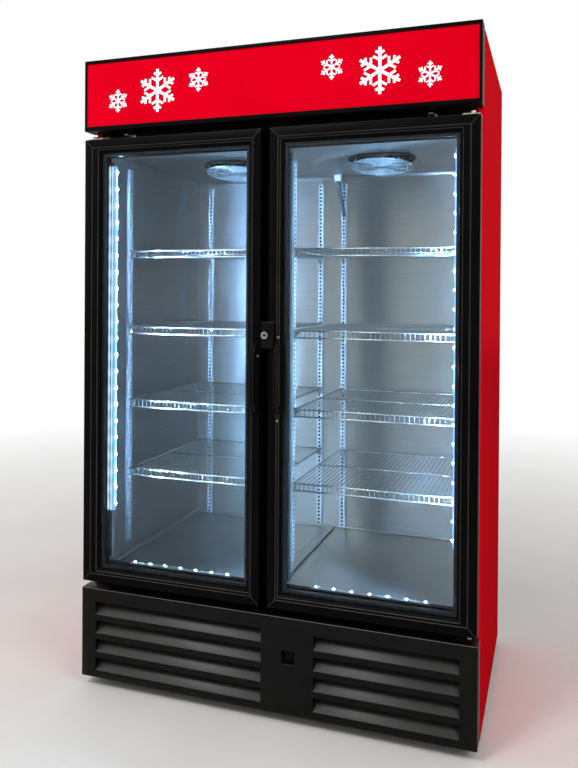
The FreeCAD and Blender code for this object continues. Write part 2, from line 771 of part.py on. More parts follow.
def hinge_bushes(name, side):
    """Two flanged bushes let into the corners of the door, and the tools that cut their seats."""
    where = (signed("Place.hinge_x", side), "Place.hinge_y")
    bushes = []
    seats = []
    for end, face, way in (("low", "Size.door_bottom", 1), ("high", "Place.door_top", -1)):
        inside = f"{face} + {way} * Size.bush_depth"
        outside = f"{face} - {way} * Size.bush_flange"
        sleeve_span = (face, inside) if way > 0 else (inside, face)
        flange_span = (outside, face) if way > 0 else (face, outside)
        seat_span = ((f"{face} - Size.overcut", inside) if way > 0 else (inside, f"{face} + Size.overcut"))
        bore_span = ((f"{outside} - Size.overcut", f"{inside} + Size.overcut") if way > 0
                     else (f"{inside} - Size.overcut", f"{outside} + Size.overcut"))
        seats.append(rod(f"{name}_{end}_seat", "z", "Size.bush_radius + Size.running_clearance",
                         *seat_span, *where))
        sleeve = rod(f"{name}_{end}_sleeve", "z", "Size.bush_radius", *sleeve_span, *where)
        flange = rod(f"{name}_{end}_flange", "z", "Size.bush_flange_radius", *flange_span, *where)
        bore = rod(f"{name}_{end}_bore", "z", "Size.hinge_pin_radius + Size.running_clearance",
                   *bore_span, *where)
        bushes.append(cut(f"{name}_{end}", joined(f"{name}_{end}_blank", [sleeve, flange]), [bore]))
    part(name, group(name, bushes))
    return seats


def handle(label, side, inset):
    """A bow handle: a curved round bar between two feet on the latch stile."""
    middle_x = signed(f"Place.door_latch + {inset}", side)
    foot_front = "Place.door_front - Size.handle_foot_depth"
    rise = "(Size.handle_reach - Size.handle_bar_radius - Size.handle_foot_depth / 2)"
    half_span = "(Size.handle_height / 2 - Size.handle_foot_height / 2)"
    bow_radius = f"({half_span} ^ 2 / (2 * {rise}) + {rise} / 2)"
    half_angle = math.degrees(math.asin(value(half_span) / value(bow_radius)))
    bow = doc.addObject("Part::Torus", label + "_bow")
    bow.Angle3 = 2 * half_angle
    upright = Rotation(Vector(0, -1, 0), Vector(0, 0, 1), Vector(-1, 0, 0), "XYZ")
    bow.Placement = FreeCAD.Placement(Vector(), upright * Rotation(Vector(0, 0, 1), -half_angle))
    bind(bow, x=middle_x, z="Size.handle_middle", Radius1=bow_radius, Radius2="Size.handle_bar_radius",
         y=f"Place.door_front - Size.handle_reach + Size.handle_bar_radius + {bow_radius}")
    feet = []
    for end, way in (("low", -1), ("high", 1)):
        middle_z = f"Size.handle_middle + {way} * {half_span}"
        feet.append(block(f"{label}_{end}_foot",
                          (f"{middle_x} - Size.handle_foot_width / 2",
                           f"{middle_x} + Size.handle_foot_width / 2"),
                          (foot_front, "Place.door_front"),
                          (f"{middle_z} - Size.handle_foot_height / 2",
                           f"{middle_z} + Size.handle_foot_height / 2")))
    part(label, joined(label, [bow] + feet))


def door(name, side):
    """One door: four mitred extrusions round a glass unit, with its gasket, bushes and handle."""
    latch, hinge = "Place.door_latch", "Place.door_hinge_edge"
    left_edge, right_edge = to_side((latch, hinge), side)
    low, high, front = "Size.door_bottom", "Place.door_top", "Place.door_front"
    seats = hinge_bushes(name + "_bushes", side)
    left, right = ("latch_stile", "hinge_stile") if side > 0 else ("hinge_stile", "latch_stile")
    left_stile = frame_member(name + "_left_stile", (left, "rail", "rail"), "Size.door_height",
                              left_edge, front, low, 0)
    right_stile = frame_member(name + "_right_stile", (right, "rail", "rail"), "Size.door_height",
                               right_edge, front, high, 180)
    top_rail = frame_member(name + "_top_rail", ("rail", left, right), "Place.door_width",
                            left_edge, front, high, 90)
    bottom_rail = frame_member(name + "_bottom_rail", ("rail", right, left), "Place.door_width",
                               right_edge, front, low, -90)
    hinge_stile, latch_stile = (right_stile, left_stile) if side > 0 else (left_stile, right_stile)
    members = [cut(f"{name}_hinge_stile_bored", hinge_stile, seats), latch_stile]
    for rail in (top_rail, bottom_rail):
        members.append(cut(rail.Name + "_bored", rail, seats))
    part(name + "_frame", group(name + "_frame", members))

    def inset(amount):
        """The spans across and up the door that lie this far inside the sight line of its frame."""
        return (to_side((f"{latch} + Size.latch_stile_width + ({amount})",
                         f"{hinge} - Size.hinge_stile_width - ({amount})"), side),
                (f"{low} + Size.rail_width + ({amount})", f"{high} - Size.rail_width - ({amount})"))

    across, tall = inset("Place.glass_edge")
    panes = [
        block(name + "_front_pane", across, ("Place.glazing_front", "Place.glazing_front + Size.pane"), tall),
        block(name + "_rear_pane", across, ("Place.glazing_back - Size.pane", "Place.glazing_back"), tall),
    ]
    part(name + "_glass", group(name + "_glass", panes))
    across, tall = inset("Place.glass_edge + Size.spacer_inset")
    across_inside, tall_inside = inset("Size.spacer_show")
    part(name + "_spacer", ring(name + "_spacer", across,
                                ("Place.glazing_front + Size.pane", "Place.glazing_back - Size.pane"), tall,
                                across_inside, tall_inside))
    seal_outer = to_side((f"{latch} + Size.gasket_latch_inset", f"{hinge} - Size.gasket_hinge_inset"), side)
    seal_inner = to_side((f"{latch} + Size.gasket_latch_inset + Size.gasket_width",
                          f"{hinge} - Size.gasket_hinge_inset - Size.gasket_width"), side)
    part(name + "_gasket", ring(
        name + "_gasket", seal_outer, ("Place.door_back", "Place.door_back + Size.gasket_depth"),
        (f"{low} + Size.gasket_rail_inset", f"{high} - Size.gasket_rail_inset"), seal_inner,
        (f"{low} + Size.gasket_rail_inset + Size.gasket_width",
         f"{high} - Size.gasket_rail_inset - Size.gasket_width")))
    handle(name + "_handle", side, f"Size.{name.split('_')[0]}_handle_inset")


def hinge_brackets():
    """Zinc plates above and below each door, each with a fixed pin and a foot on the front frame."""
    brackets = []
    for across, side in SIDES.items():
        where = (signed("Place.hinge_x", side), "Place.hinge_y")
        plate_span = to_side(("Place.hinge_x - Size.bracket_width / 2",
                              "Place.hinge_x + Size.bush_flange_radius"), side)
        foot_span = to_side(("Place.hinge_x - Size.bracket_width / 2", "Place.face_half"), side)
        for end, face, way in (("low", "Size.door_bottom", 1), ("high", "Place.door_top", -1)):
            name = f"{across}_{end}_bracket"
            near = f"{face} - {way} * (Size.bush_flange + Size.seal_gap)"
            far = f"{near} - {way} * Size.bracket_plate"
            tip = f"{near} + {way} * Size.hinge_pin_length"
            plate_tall = (far, near) if way > 0 else (near, far)
            pin_tall = (far, tip) if way > 0 else (tip, far)
            foot_end = f"{far} - {way} * Size.bracket_foot_height"
            foot_tall = (foot_end, near) if way > 0 else (near, foot_end)
            plate = block(name + "_plate", plate_span,
                          ("Place.hinge_y - Size.bush_flange_radius", "Place.cabinet_front"), plate_tall)
            foot = block(name + "_foot", foot_span,
                         ("Place.cabinet_front - Size.bracket_plate", "Place.cabinet_front"), foot_tall)
            pin = rod(name + "_pin", "z", "Size.hinge_pin_radius", *pin_tall, *where)
            brackets.append(joined(name, [plate, foot, pin]))
    part("hinge_brackets", group("hinge_brackets", brackets))


def lock():
    """A key lock on the right door; its cam turns in behind the lip of a keeper on the mullion."""
    axis = ("Place.lock_axis_x", "Size.lock_axis_height")
    bore = rod("lock_bore", "y", "Size.lock_cylinder_radius + Size.running_clearance",
               "Place.lock_face - Size.overcut", "Place.door_front + Size.overcut", *axis)
    case = block("lock_block", ("Place.lock_left", "Place.lock_left + Size.lock_width"),
                 ("Place.lock_face", "Place.door_front"),
                 ("Size.lock_axis_height - Size.lock_height / 2",
                  "Size.lock_axis_height + Size.lock_height / 2"))
    part("lock_housing", cut("lock_housing", case, [bore]))
    plug = rod("lock_plug", "y", "Size.lock_cylinder_radius", "Place.lock_face - Size.lock_cylinder_proud",
               "Place.lock_tail", *axis)
    slot = block("key_slot", ("Place.lock_axis_x - 0.15 * Size.lock_cylinder_radius",
                              "Place.lock_axis_x + 0.15 * Size.lock_cylinder_radius"),
                 ("Place.lock_face - Size.lock_cylinder_proud - Size.overcut", "Place.lock_face"),
                 ("Size.lock_axis_height - 0.6 * Size.lock_cylinder_radius",
                  "Size.lock_axis_height + 0.6 * Size.lock_cylinder_radius"))
    part("lock_cylinder", cut("lock_cylinder", plug, [slot]))
    part("lock_cam", block("lock_cam", ("Place.lock_axis_x - Size.lock_cam_width / 2",
                                        "Place.lock_axis_x + Size.lock_cam_width / 2"),
                           ("Place.lock_tail", "Place.cam_back"),
                           ("Size.lock_axis_height - Size.lock_cam_length",
                            "Size.lock_axis_height + Size.lock_cam_width / 2")))
    tall = ("Size.lock_axis_height - Size.keeper_height / 2",
            "Size.lock_axis_height + Size.keeper_height / 2")
    lip_back = "Place.lock_tail - Size.keeper_play"
    arm = block("keeper_arm", ("Place.keeper_left", "Place.keeper_inside"),
                (f"{lip_back} - Size.keeper_sheet", "Place.cabinet_front"), tall)
    lip = block("keeper_lip", ("Place.keeper_inside", "Place.keeper_inside + Size.keeper_lip"),
                (f"{lip_back} - Size.keeper_sheet", lip_back), tall)
    part("lock_keeper", joined("lock_keeper", [arm, lip]))


# Shelves
def pilaster_strip(name, length):
    """A slotted channel, its face towards -Y, its length along Z."""
    body = doc.addObject("PartDesign::Body", name)
    half, depth, sheet = "Size.pilaster_width / 2", "Size.pilaster_depth", "Size.pilaster_sheet"
    section = outline(body, name + "_section", "XY_Plane", [
        (f"-{half}", "0"), (half, "0"), (half, depth), (f"{half} - {sheet}", depth),
        (f"{half} - {sheet}", sheet), (f"-{half} + {sheet}", sheet), (f"-{half} + {sheet}", depth),
        (f"-{half}", depth)])
    pad(body, section, length)
    side, low = "Size.slot_width / 2", "Size.slot_margin"
    slot_sketch = outline(body, name + "_slot", "XZ_Plane", [
        (f"-{side}", low), (side, low),
        (side, f"{low} + Size.slot_height"), (f"-{side}", f"{low} + Size.slot_height")])
    slot = pocket_through(body, slot_sketch)
    doc.recompute()
    rows = int((value(length) - 2 * value(low)) / value("Size.slot_pitch"))
    pattern = body.newObject("PartDesign::LinearPattern", name + "_slots")
    pattern.Originals = [slot]
    pattern.Direction = (slot_sketch, ["V_Axis"])
    pattern.Occurrences = rows
    bind(pattern, Length=f"{rows - 1} * Size.slot_pitch")
    body.Tip = pattern
    return body


def clip_piece():
    """A shelf clip that stands out from the face of a pilaster towards -Y, its top at Z = 0."""
    body = doc.addObject("PartDesign::Body", "clip_piece")
    profile = outline(body, "clip_profile", "YZ_Plane", [
        ("0", "0"), ("-Size.clip_reach", "0"), ("-Size.clip_reach", "-Size.clip_nose"),
        ("-Size.pilaster_sheet", "-Size.clip_height"), ("0", "-Size.clip_height")])
    pad(body, profile, "Size.clip_width")
    return body


def shelf_piece():
    """A welded wire shelf: cross rods under a row of wires that turn down to a lower front rod."""
    half_width = "Place.shelf_width / 2"
    wire, thick = "Size.shelf_wire_radius", "Size.shelf_rod_radius"
    wire_z, rod_z = f"-{wire}", "-Place.shelf_rod_drop"
    low_z = "-Place.shelf_rod_drop - Size.shelf_truss_drop"
    front_y = f"2 * {wire} + {thick} - Size.weld_bite"
    back_y = f"Place.shelf_depth - {thick}"
    pieces = []
    for name, y, z in (("front_upper", front_y, rod_z), ("front_lower", front_y, low_z),
                       ("middle", "Place.shelf_depth / 2", rod_z), ("rear", back_y, rod_z)):
        pieces.append(rod(f"shelf_{name}_rod", "x", thick, *both_ways(half_width), y, z))
    for name, side in SIDES.items():
        pieces.append(rod(f"shelf_{name}_rod", "y", thick, front_y, back_y,
                          signed(f"{half_width} - {thick}", side), rod_z))
    count = int(value("Size.shelf_wire_count"))
    for index in range(count):
        x = f"({half_width} - 2 * {thick}) * {2 * index / (count - 1) - 1:.6f}"
        pieces.append(rod(f"shelf_wire_{index}", "y", wire, "0", "Place.shelf_depth", x, wire_z))
        pieces.append(rod(f"shelf_drop_{index}", "z", wire, f"{low_z} - {thick}", wire_z, x, wire))
    return joined("shelf_piece", pieces)


def shelves():
    """Eight pilasters, eight shelves on four levels and a clip under each corner of each shelf."""
    front_length, rear_length = "Size.front_pilaster_length", "Size.rear_pilaster_length"
    front_strip = pilaster_strip("front_strip", front_length)
    rear_strip = pilaster_strip("rear_strip", rear_length)
    clip = clip_piece()
    shelf = shelf_piece()
    faces = {-1: Rotation(Vector(0, 0, 1), -90), 1: Rotation(Vector(0, 0, 1), 90)}
    rear_face = "Place.inner_back - Size.pilaster_depth"
    stands = []
    for across, side in SIDES.items():
        stands += [
            (f"{across}_wall", signed("Place.pilaster_face_out", side), "Place.front_pilaster_y",
             faces[-side]),
            (f"{across}_web", signed("Place.pilaster_face_in", side), "Place.front_pilaster_y", faces[side]),
            (f"{across}_rear_out", signed("Size.rear_pilaster_out", side), rear_face, Rotation()),
            (f"{across}_rear_in", signed("Size.rear_pilaster_in", side), rear_face, Rotation()),
        ]
    strips = []
    for name, x, y, turn in stands:
        strip, length = (rear_strip, rear_length) if "rear" in name else (front_strip, front_length)
        strips.append(placed(name + "_pilaster", strip, x, y, f"Size.pilaster_top - {length}", turn))
    part("shelf_pilasters", group("shelf_pilasters", strips))
    clips = []
    for level in "abcd":
        height = f"Size.shelf_level_{level}"
        for across, side in SIDES.items():
            label = f"{across}_shelf_{level}"
            part(label, placed(label, shelf, signed("Place.shelf_middle", side), "Place.shelf_front", height))
        for name, x, y, turn in stands:
            aside = turn.multVec(Vector(-1, 0, 0))
            clips.append(placed(f"{name}_clip_{level}", clip,
                                f"{x} + {aside.x:.0f} * Size.clip_width / 2",
                                f"{y} + {aside.y:.0f} * Size.clip_width / 2",
                                f"{height} - Place.clip_drop", turn))
    part("shelf_clips", group("shelf_clips", clips))


# Ceiling cover, fans and coils
def fan_piece(name, tip_radius, blade_width):
    """A fan about the Z axis: a bored hub and tilted blades."""
    hub = rod(name + "_hub", "z", "Size.fan_hub_radius", "0", "Size.fan_hub_height", "0", "0")
    blade = block(name + "_vane", ("Size.fan_hub_radius - Size.weld_bite - Size.blade_sheet", tip_radius),
                  (f"-{blade_width} / 2", f"{blade_width} / 2"),
                  ("-Size.blade_sheet / 2", "Size.blade_sheet / 2"))
    blade.setExpression("Placement.Base.y", None)
    blade.setExpression("Placement.Base.z", None)
    tilt = Rotation(Vector(1, 0, 0), value("Size.blade_pitch_degrees"))
    corner = tilt.multVec(Vector(0, -value(blade_width) / 2, -value("Size.blade_sheet") / 2))
    blade.Placement = FreeCAD.Placement(Vector(0, corner.y, corner.z), tilt)
    count = int(value("Size.blade_count"))
    blades = [placed(f"{name}_vane_{index}", blade, z="Size.fan_hub_height / 2",
                     turn=Rotation(Vector(0, 0, 1), 360 / count * index)) for index in range(count)]
    bore = rod(name + "_bore", "z", "Size.motor_shaft_radius + Size.running_clearance", "-Size.overcut",
               "Size.fan_hub_height + Size.overcut", "0", "0")
    return cut(name + "_turned_up", joined(name + "_blank", [hub] + blades), [bore])


def evaporator():
    """The ceiling cover with two fans and their guards, and the coil that stands on it."""
    floor = block("cover_floor", both_ways("Place.inner_half"), ("Place.cover_front", "Place.inner_back"),
                  ("Size.ceiling", "Place.cover_top"))
    front = block("cover_front_wall", both_ways("Place.inner_half"),
                  ("Place.cover_front", "Place.cover_front + Size.cover_sheet"),
                  ("Size.ceiling", "Place.inner_top"))
    fan = fan_piece("evaporator_fan", "Size.blade_tip_radius", "Size.blade_width")
    holes = []
    motors = []
    guards = []
    for across, side in SIDES.items():
        x, y = signed("Size.fan_x", side), "Place.fan_y"
        holes.append(rod(f"{across}_fan_hole", "z", "Size.fan_hole_radius", "Size.ceiling - Size.overcut",
                         "Place.cover_top + Size.overcut", x, y))
        part(f"{across}_fan_blade", placed(f"{across}_fan_blade", fan, x, y, "Place.fan_hub_bottom"))
        motors.append(fan_motor(across, x, y))
        guards.append(fan_guard(across, x, y))
    part("evaporator_cover", cut("evaporator_cover", joined("cover_blank", [floor, front]), holes))
    part("fan_motors", group("fan_motors", motors))
    part("fan_guards", group("fan_guards", guards))
    finned_coil("evaporator_coil", both_ways("Size.coil_half_width"), ("Place.coil_front", "Place.coil_back"),
                ("Place.cover_top", "Place.cover_top + Size.coil_height"),
                "Size.coil_fin_pitch", "Size.coil_rows")


def fan_motor(across, x, y):
    """A motor on a strap over the fan hole, its shaft down through the hub."""
    body = rod(f"{across}_motor_body", "z", "Size.motor_radius", "Place.motor_bottom", "Place.motor_top",
               x, y)
    shaft = rod(f"{across}_motor_shaft", "z", "Size.motor_shaft_radius", "Place.fan_hub_bottom",
                "Place.motor_bottom + Size.motor_height / 2", x, y)
    half_strap = "Size.motor_strap_width / 2"
    deep = (f"{y} - {half_strap}", f"{y} + {half_strap}")
    strap_top = "Place.motor_top - Size.motor_height / 2"
    pieces = [body, shaft, block(f"{across}_motor_strap",
                                 (f"{x} - Size.motor_strap_reach", f"{x} + Size.motor_strap_reach"), deep,
                                 (f"{strap_top} - Size.motor_strap", strap_top))]
    for end, way in (("inner", -1), ("outer", 1)):
        edge = f"{x} + {way} * Size.motor_strap_reach"
        inside = f"{edge} - {way} * Size.motor_strap"
        pieces.append(block(f"{across}_motor_{end}_leg", (edge, inside) if way < 0 else (inside, edge), deep,
                            ("Place.cover_top", strap_top)))
    return joined(f"{across}_fan_motor", pieces)


def fan_guard(across, x, y):
    """A wire guard: rings welded on two crossed spokes whose ends stand up to the cover."""
    height = "Size.ceiling - Size.guard_drop"
    spoke_z = f"({height} - Size.guard_wire_radius - Size.guard_spoke_radius + Size.weld_bite)"
    leg_radius = "Size.guard_spoke_radius + Size.weld_bite"
    reach = "(Size.guard_radius + Size.guard_leg_gap)"
    count = int(value("Size.guard_rings"))
    pieces = []
    for index in range(count):
        ring_wire = doc.addObject("Part::Torus", f"{across}_guard_ring_{index}")
        ring_wire.Placement = FreeCAD.Placement(Vector(), Rotation(Vector(0, 0, 1), 45))
        bind(ring_wire, x=x, y=y, z=height, Radius1=f"Size.guard_radius * {index + 1} / {count}",
             Radius2="Size.guard_wire_radius")
        pieces.append(ring_wire)
    for axis, middle, beside, radius in (("x", x, y, "Size.guard_spoke_radius"),
                                         ("y", y, x, "Size.guard_wire_radius + Size.weld_bite / 4")):
        pieces.append(rod(f"{across}_guard_spoke_{axis}", axis, radius, f"{middle} - {reach}",
                          f"{middle} + {reach}", beside, spoke_z))
        for end, way in (("low", -1), ("high", 1)):
            edge = f"{middle} + {way} * {reach}"
            leg_place = (edge, y) if axis == "x" else (x, edge)
            pieces.append(rod(f"{across}_guard_leg_{axis}_{end}", "z", leg_radius,
                              f"{spoke_z} - {leg_radius}", "Size.ceiling", *leg_place))
    return joined(f"{across}_fan_guard", pieces)


def finned_coil(label, across, deep, tall, pitch, rows):
    """Upright fins threaded on rows of tubes that run along X."""
    width = value(f"({across[1]}) - ({across[0]})")
    count = int(width / value(pitch)) + 1
    pieces = []
    for index in range(count):
        left = f"({across[0]}) + (({across[1]}) - ({across[0]}) - Size.fin_sheet) * {index / (count - 1):.6f}"
        pieces.append(block(f"{label}_fin_{index}", (left, f"{left} + Size.fin_sheet"), deep, tall))
    row_count = int(value(rows))
    for row in range(row_count):
        height = f"({tall[0]}) + (({tall[1]}) - ({tall[0]})) * {(row + 0.5) / row_count:.6f}"
        for line, share in (("front", 0.25), ("back", 0.75)):
            y = f"({deep[0]}) + (({deep[1]}) - ({deep[0]})) * {share}"
            pieces.append(rod(f"{label}_{line}_tube_{row}", "x", "Size.coil_tube_radius",
                              f"({across[0]}) - Size.coil_tube_overhang",
                              f"({across[1]}) + Size.coil_tube_overhang",
                              y, height))
    part(label, joined(label, pieces))


def drain_tube():
    """The drain cup under the cover and its tube, which turns into the rear wall."""
    where = ("Size.drain_x", "Place.drain_y")
    cup_bottom = "Size.ceiling - Size.drain_cup_height"
    cup = rod("drain_cup", "z", "Size.drain_cup_radius", cup_bottom, "Size.ceiling", *where)
    down = rod("drain_down", "z", "Size.drain_tube_radius", "Place.drain_bottom", cup_bottom, *where)
    knee = doc.addObject("Part::Sphere", "drain_knee")
    bind(knee, x=where[0], y=where[1], z="Place.drain_bottom",
         Radius="Size.drain_tube_radius + Size.line_joint")
    back = rod("drain_back", "y", "Size.drain_tube_radius", "Place.drain_y", "Place.inner_back",
               where[0], "Place.drain_bottom")
    part("drain_tube", joined("drain_tube", [cup, down, knee, back]))


def led_strips():
    """Light strips on both jambs, on both edges of the mullion and on the sill of each door."""
    deep = ("Place.cabinet_front + Size.led_front_gap",
            "Place.cabinet_front + Size.led_front_gap + Size.led_depth")
    tall = ("Place.opening_bottom + Size.led_end_gap", "Size.opening_top - Size.led_end_gap")
    mullion_edge = "Size.mullion_width / 2"
    sill_middle = f"(Place.inner_half + {mullion_edge}) / 2"
    strips = []
    for across, side in SIDES.items():
        spans = {
            "jamb": (("Place.inner_half - Size.led_height", "Place.inner_half"), tall),
            "mullion": ((mullion_edge, f"{mullion_edge} + Size.led_height"), tall),
            "sill": ((f"{sill_middle} - Size.sill_led_length / 2",
                      f"{sill_middle} + Size.sill_led_length / 2"),
                     ("Place.opening_bottom", "Place.opening_bottom + Size.sill_led_height")),
        }
        for name, (width, height) in spans.items():
            strips.append(block(f"{across}_{name}_led", to_side(width, side), deep, height))
    part("led_strips", group("led_strips", strips))


# Condensing unit
def condensing_unit():
    """Condenser coil, shroud, fan and motor, all standing on the base."""
    across = ("Place.condenser_left", "Place.condenser_right")
    tall = ("Place.base_top", "Place.condenser_top")
    finned_coil("condenser_coil", across, ("Place.condenser_front", "Place.condenser_back"), tall,
                "Size.condenser_fin_pitch", "Size.condenser_rows")
    shell = block("shroud_block", across, ("Place.condenser_back", "Place.shroud_back"), tall)
    hollow = block("shroud_hollow", (f"{across[0]} + Size.shroud_sheet", f"{across[1]} - Size.shroud_sheet"),
                   ("Place.condenser_back - Size.overcut", "Place.shroud_back - Size.shroud_sheet"),
                   (f"{tall[0]} + Size.shroud_sheet", f"{tall[1]} - Size.shroud_sheet"))
    where = ("Size.condenser_x", "Place.condenser_fan_z")
    hole = rod("shroud_hole", "y", "Size.condenser_fan_hole_radius", "Place.condenser_back",
               "Place.shroud_back + Size.overcut", *where)
    part("condenser_shroud", cut("condenser_shroud", shell, [hollow, hole]))
    fan = fan_piece("condenser_fan", "Size.condenser_blade_tip", "Size.condenser_blade_width")
    part("condenser_fan_blade", placed("condenser_fan_blade", fan, where[0], "Place.condenser_hub_front",
                                       where[1], ALONG["y"]))
    motor = rod("condenser_motor_body", "y", "Size.condenser_motor_radius", "Place.condenser_motor_front",
                "Place.condenser_motor_back", *where)
    shaft = rod("condenser_motor_shaft", "y", "Size.motor_shaft_radius", "Place.condenser_hub_front",
                "Place.condenser_motor_front + Size.motor_gap", *where)
    half = "Size.motor_strap_width / 2"
    post = block("condenser_motor_post", (f"{where[0]} - {half}", f"{where[0]} + {half}"),
                 ("Place.condenser_motor_back - Size.motor_strap_width", "Place.condenser_motor_back"),
                 ("Place.base_top", where[1]))
    part("condenser_fan_motor", joined("condenser_fan_motor", [motor, shaft, post]))


def compressor():
    """A domed steel shell on a plate with four grommets."""
    body = doc.addObject("PartDesign::Body", "compressor_shell")
    radius, dome, height = "Size.compressor_radius", "Size.compressor_dome", "Size.compressor_height"
    profile = outline(body, "compressor_profile", "XZ_Plane", [
        ("0", "0"), (f"{radius} - {dome} / 2", "0"), (radius, f"{dome} / 2"), (radius, f"{height} - {dome}"),
        (f"{radius} - {dome} / 3", f"{height} - {dome} / 3"), (f"{radius} - {dome}", height), ("0", height)])
    turned(body, profile)
    bind(body, x="Size.compressor_x", y="Place.compressor_y", z="Place.compressor_shell")
    half = "Size.compressor_plate_width / 2"
    plate = block("compressor_plate", (f"Size.compressor_x - {half}", f"Size.compressor_x + {half}"),
                  (f"Place.compressor_y - {half}", f"Place.compressor_y + {half}"),
                  ("Place.compressor_bottom", "Place.compressor_shell"))
    pieces = [body, plate]
    for across in (-1, 1):
        for deep in (-1, 1):
            pieces.append(rod(f"grommet_{across + 1}_{deep + 1}", "z", "Size.grommet_radius",
                              "Place.base_top", "Place.compressor_bottom",
                              f"Size.compressor_x + {across} * ({half} - Size.grommet_inset)",
                              f"Place.compressor_y + {deep} * ({half} - Size.grommet_inset)"))
    part("compressor", joined("compressor", pieces))


def drain_pan():
    """A tray that catches the meltwater."""
    across = ("Size.pan_x - Size.pan_width / 2", "Size.pan_x + Size.pan_width / 2")
    deep = ("Place.pan_back - Size.pan_depth", "Place.pan_back")
    tray = block("pan_block", across, deep, ("Place.base_top", "Place.base_top + Size.pan_height"))
    hollow = block("pan_hollow", (f"{across[0]} + Size.pan_wall", f"{across[1]} - Size.pan_wall"),
                   (f"{deep[0]} + Size.pan_wall", f"{deep[1]} - Size.pan_wall"),
                   ("Place.base_top + Size.pan_wall", "Place.base_top + Size.pan_height + Size.overcut"))
    part("drain_pan", cut("drain_pan", tray, [hollow]))


def refrigerant_lines():
    """Two copper lines: compressor to condenser, and compressor up into the floor insulation."""
    top = "Place.compressor_shell + Size.compressor_height"
    turn_z = f"{top} + Size.line_rise"
    x, y = "Size.compressor_x", "Place.compressor_y"
    end_x = "Place.condenser_right + Size.coil_tube_overhang"
    coil_y = "Place.condenser_front + Size.condenser_depth * 0.75"
    coil_z = "Place.base_top + Size.condenser_height * (Size.condenser_rows - 0.5) / Size.condenser_rows"
    shift = "Size.compressor_radius / 3"
    discharge = [
        rod("discharge_up", "z", "Size.line_radius", top, turn_z, f"{x} - {shift}", y),
        rod("discharge_forward", "y", "Size.line_radius", coil_y, y, f"{x} - {shift}", turn_z),
        rod("discharge_down", "z", "Size.line_radius", coil_z, turn_z, f"{x} - {shift}", coil_y),
        rod("discharge_across", "x", "Size.line_radius", end_x, f"{x} - {shift}", coil_y, coil_z),
    ]
    knees = (("start", y, turn_z), ("front", coil_y, turn_z), ("low", coil_y, coil_z))
    for name, corner_y, corner_z in knees:
        knee = doc.addObject("Part::Sphere", f"discharge_{name}_knee")
        discharge.append(bind(knee, x=f"{x} - {shift}", y=corner_y, z=corner_z,
                              Radius="Size.line_radius + Size.line_joint"))
    suction = rod("suction_line", "z", "Size.line_radius", top, "Place.compartment_top", f"{x} + {shift}", y)
    part("refrigerant_lines", group("refrigerant_lines", [joined("discharge_line", discharge), suction]))


def power_inlet():
    """A flanged gland through the back panel."""
    where = ("Size.inlet_x", "Size.inlet_height")
    flange_back = "Place.cabinet_back"
    sleeve = rod("inlet_sleeve", "y", "Size.inlet_radius - Size.running_clearance",
                 "Place.cabinet_back - Size.inlet_depth", flange_back, *where)
    flange = rod("inlet_flange", "y", "Size.inlet_flange_radius", "Place.foam_back - Size.inlet_flange",
                 "Place.foam_back", *where)
    bore = rod("inlet_bore", "y", "Size.inlet_bore_radius",
               "Place.cabinet_back - Size.inlet_depth - Size.overcut", f"{flange_back} + Size.overcut",
               *where)
    part("power_inlet", cut("power_inlet", joined("inlet_blank", [sleeve, flange]), [bore]))


def build():
    """Make every sub-part of the cooler."""
    for name, side in SIDES.items():
        side_panel(name + "_side_panel", side)
    top_panel()
    back_panel()
    insulation_and_liner()
    front_frame()
    center_mullion()
    base_and_feet()
    lower_grille()
    thermostat()
    sign()
    for name, side in SIDES.items():
        door(name + "_door", side)
    hinge_brackets()
    lock()
    shelves()
    evaporator()
    drain_tube()
    led_strips()
    condensing_unit()
    compressor()
    drain_pan()
    refrigerant_lines()
    power_inlet()
    doc.recompute()


def check():
    """Stop if a feature failed or a sub-part has no valid shape."""
    for feature in doc.Objects:
        if "Invalid" in feature.State or "Error" in feature.State:
            raise RuntimeError(f"{feature.Name} did not build: {feature.State}")
    for feature in PARTS:
        if feature.Shape.isNull() or not feature.Shape.isValid() or not feature.Shape.Solids:
            raise RuntimeError(f"{feature.Label} has no valid solid")


def write_parts():
    """Write each sub-part to its own file and print what it measures."""
    os.makedirs("parts", exist_ok=True)
    for feature in PARTS:
        feature.Shape.exportStep(f"parts/{feature.Label}.step")
        solids = len(feature.Shape.Solids)
        print(f"{feature.Label}: {solids} solids, {feature.Shape.Volume / 1000:.1f} cm3")
    print(len(PARTS), "sub-parts")


build()
check()
write_parts()
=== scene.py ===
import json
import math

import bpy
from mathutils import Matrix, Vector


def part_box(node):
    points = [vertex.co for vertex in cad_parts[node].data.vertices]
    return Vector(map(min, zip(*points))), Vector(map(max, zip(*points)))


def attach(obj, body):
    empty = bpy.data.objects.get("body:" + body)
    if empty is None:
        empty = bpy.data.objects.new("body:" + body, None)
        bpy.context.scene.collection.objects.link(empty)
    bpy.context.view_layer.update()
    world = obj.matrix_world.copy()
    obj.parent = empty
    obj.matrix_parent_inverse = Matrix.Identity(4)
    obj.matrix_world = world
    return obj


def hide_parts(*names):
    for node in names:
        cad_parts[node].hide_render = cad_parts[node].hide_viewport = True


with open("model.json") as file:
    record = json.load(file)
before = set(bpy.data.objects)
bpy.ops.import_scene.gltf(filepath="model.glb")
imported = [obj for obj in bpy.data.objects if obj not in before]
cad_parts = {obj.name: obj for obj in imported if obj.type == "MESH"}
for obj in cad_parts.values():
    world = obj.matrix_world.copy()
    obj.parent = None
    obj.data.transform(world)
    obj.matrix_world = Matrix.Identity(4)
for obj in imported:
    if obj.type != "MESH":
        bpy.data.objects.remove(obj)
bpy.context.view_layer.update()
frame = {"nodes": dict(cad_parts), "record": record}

# %% [markdown]
# # A two-door glass door cooler
# This lesson dresses the CAD frame of a shop cooler.  The red cabinet, the black doors and the steel
# inside are modelled at their real sizes in metres, so each piece can be checked with a ruler.
# The floor is Z = 0, the doors face -Y and X = 0 is the middle of the cabinet.

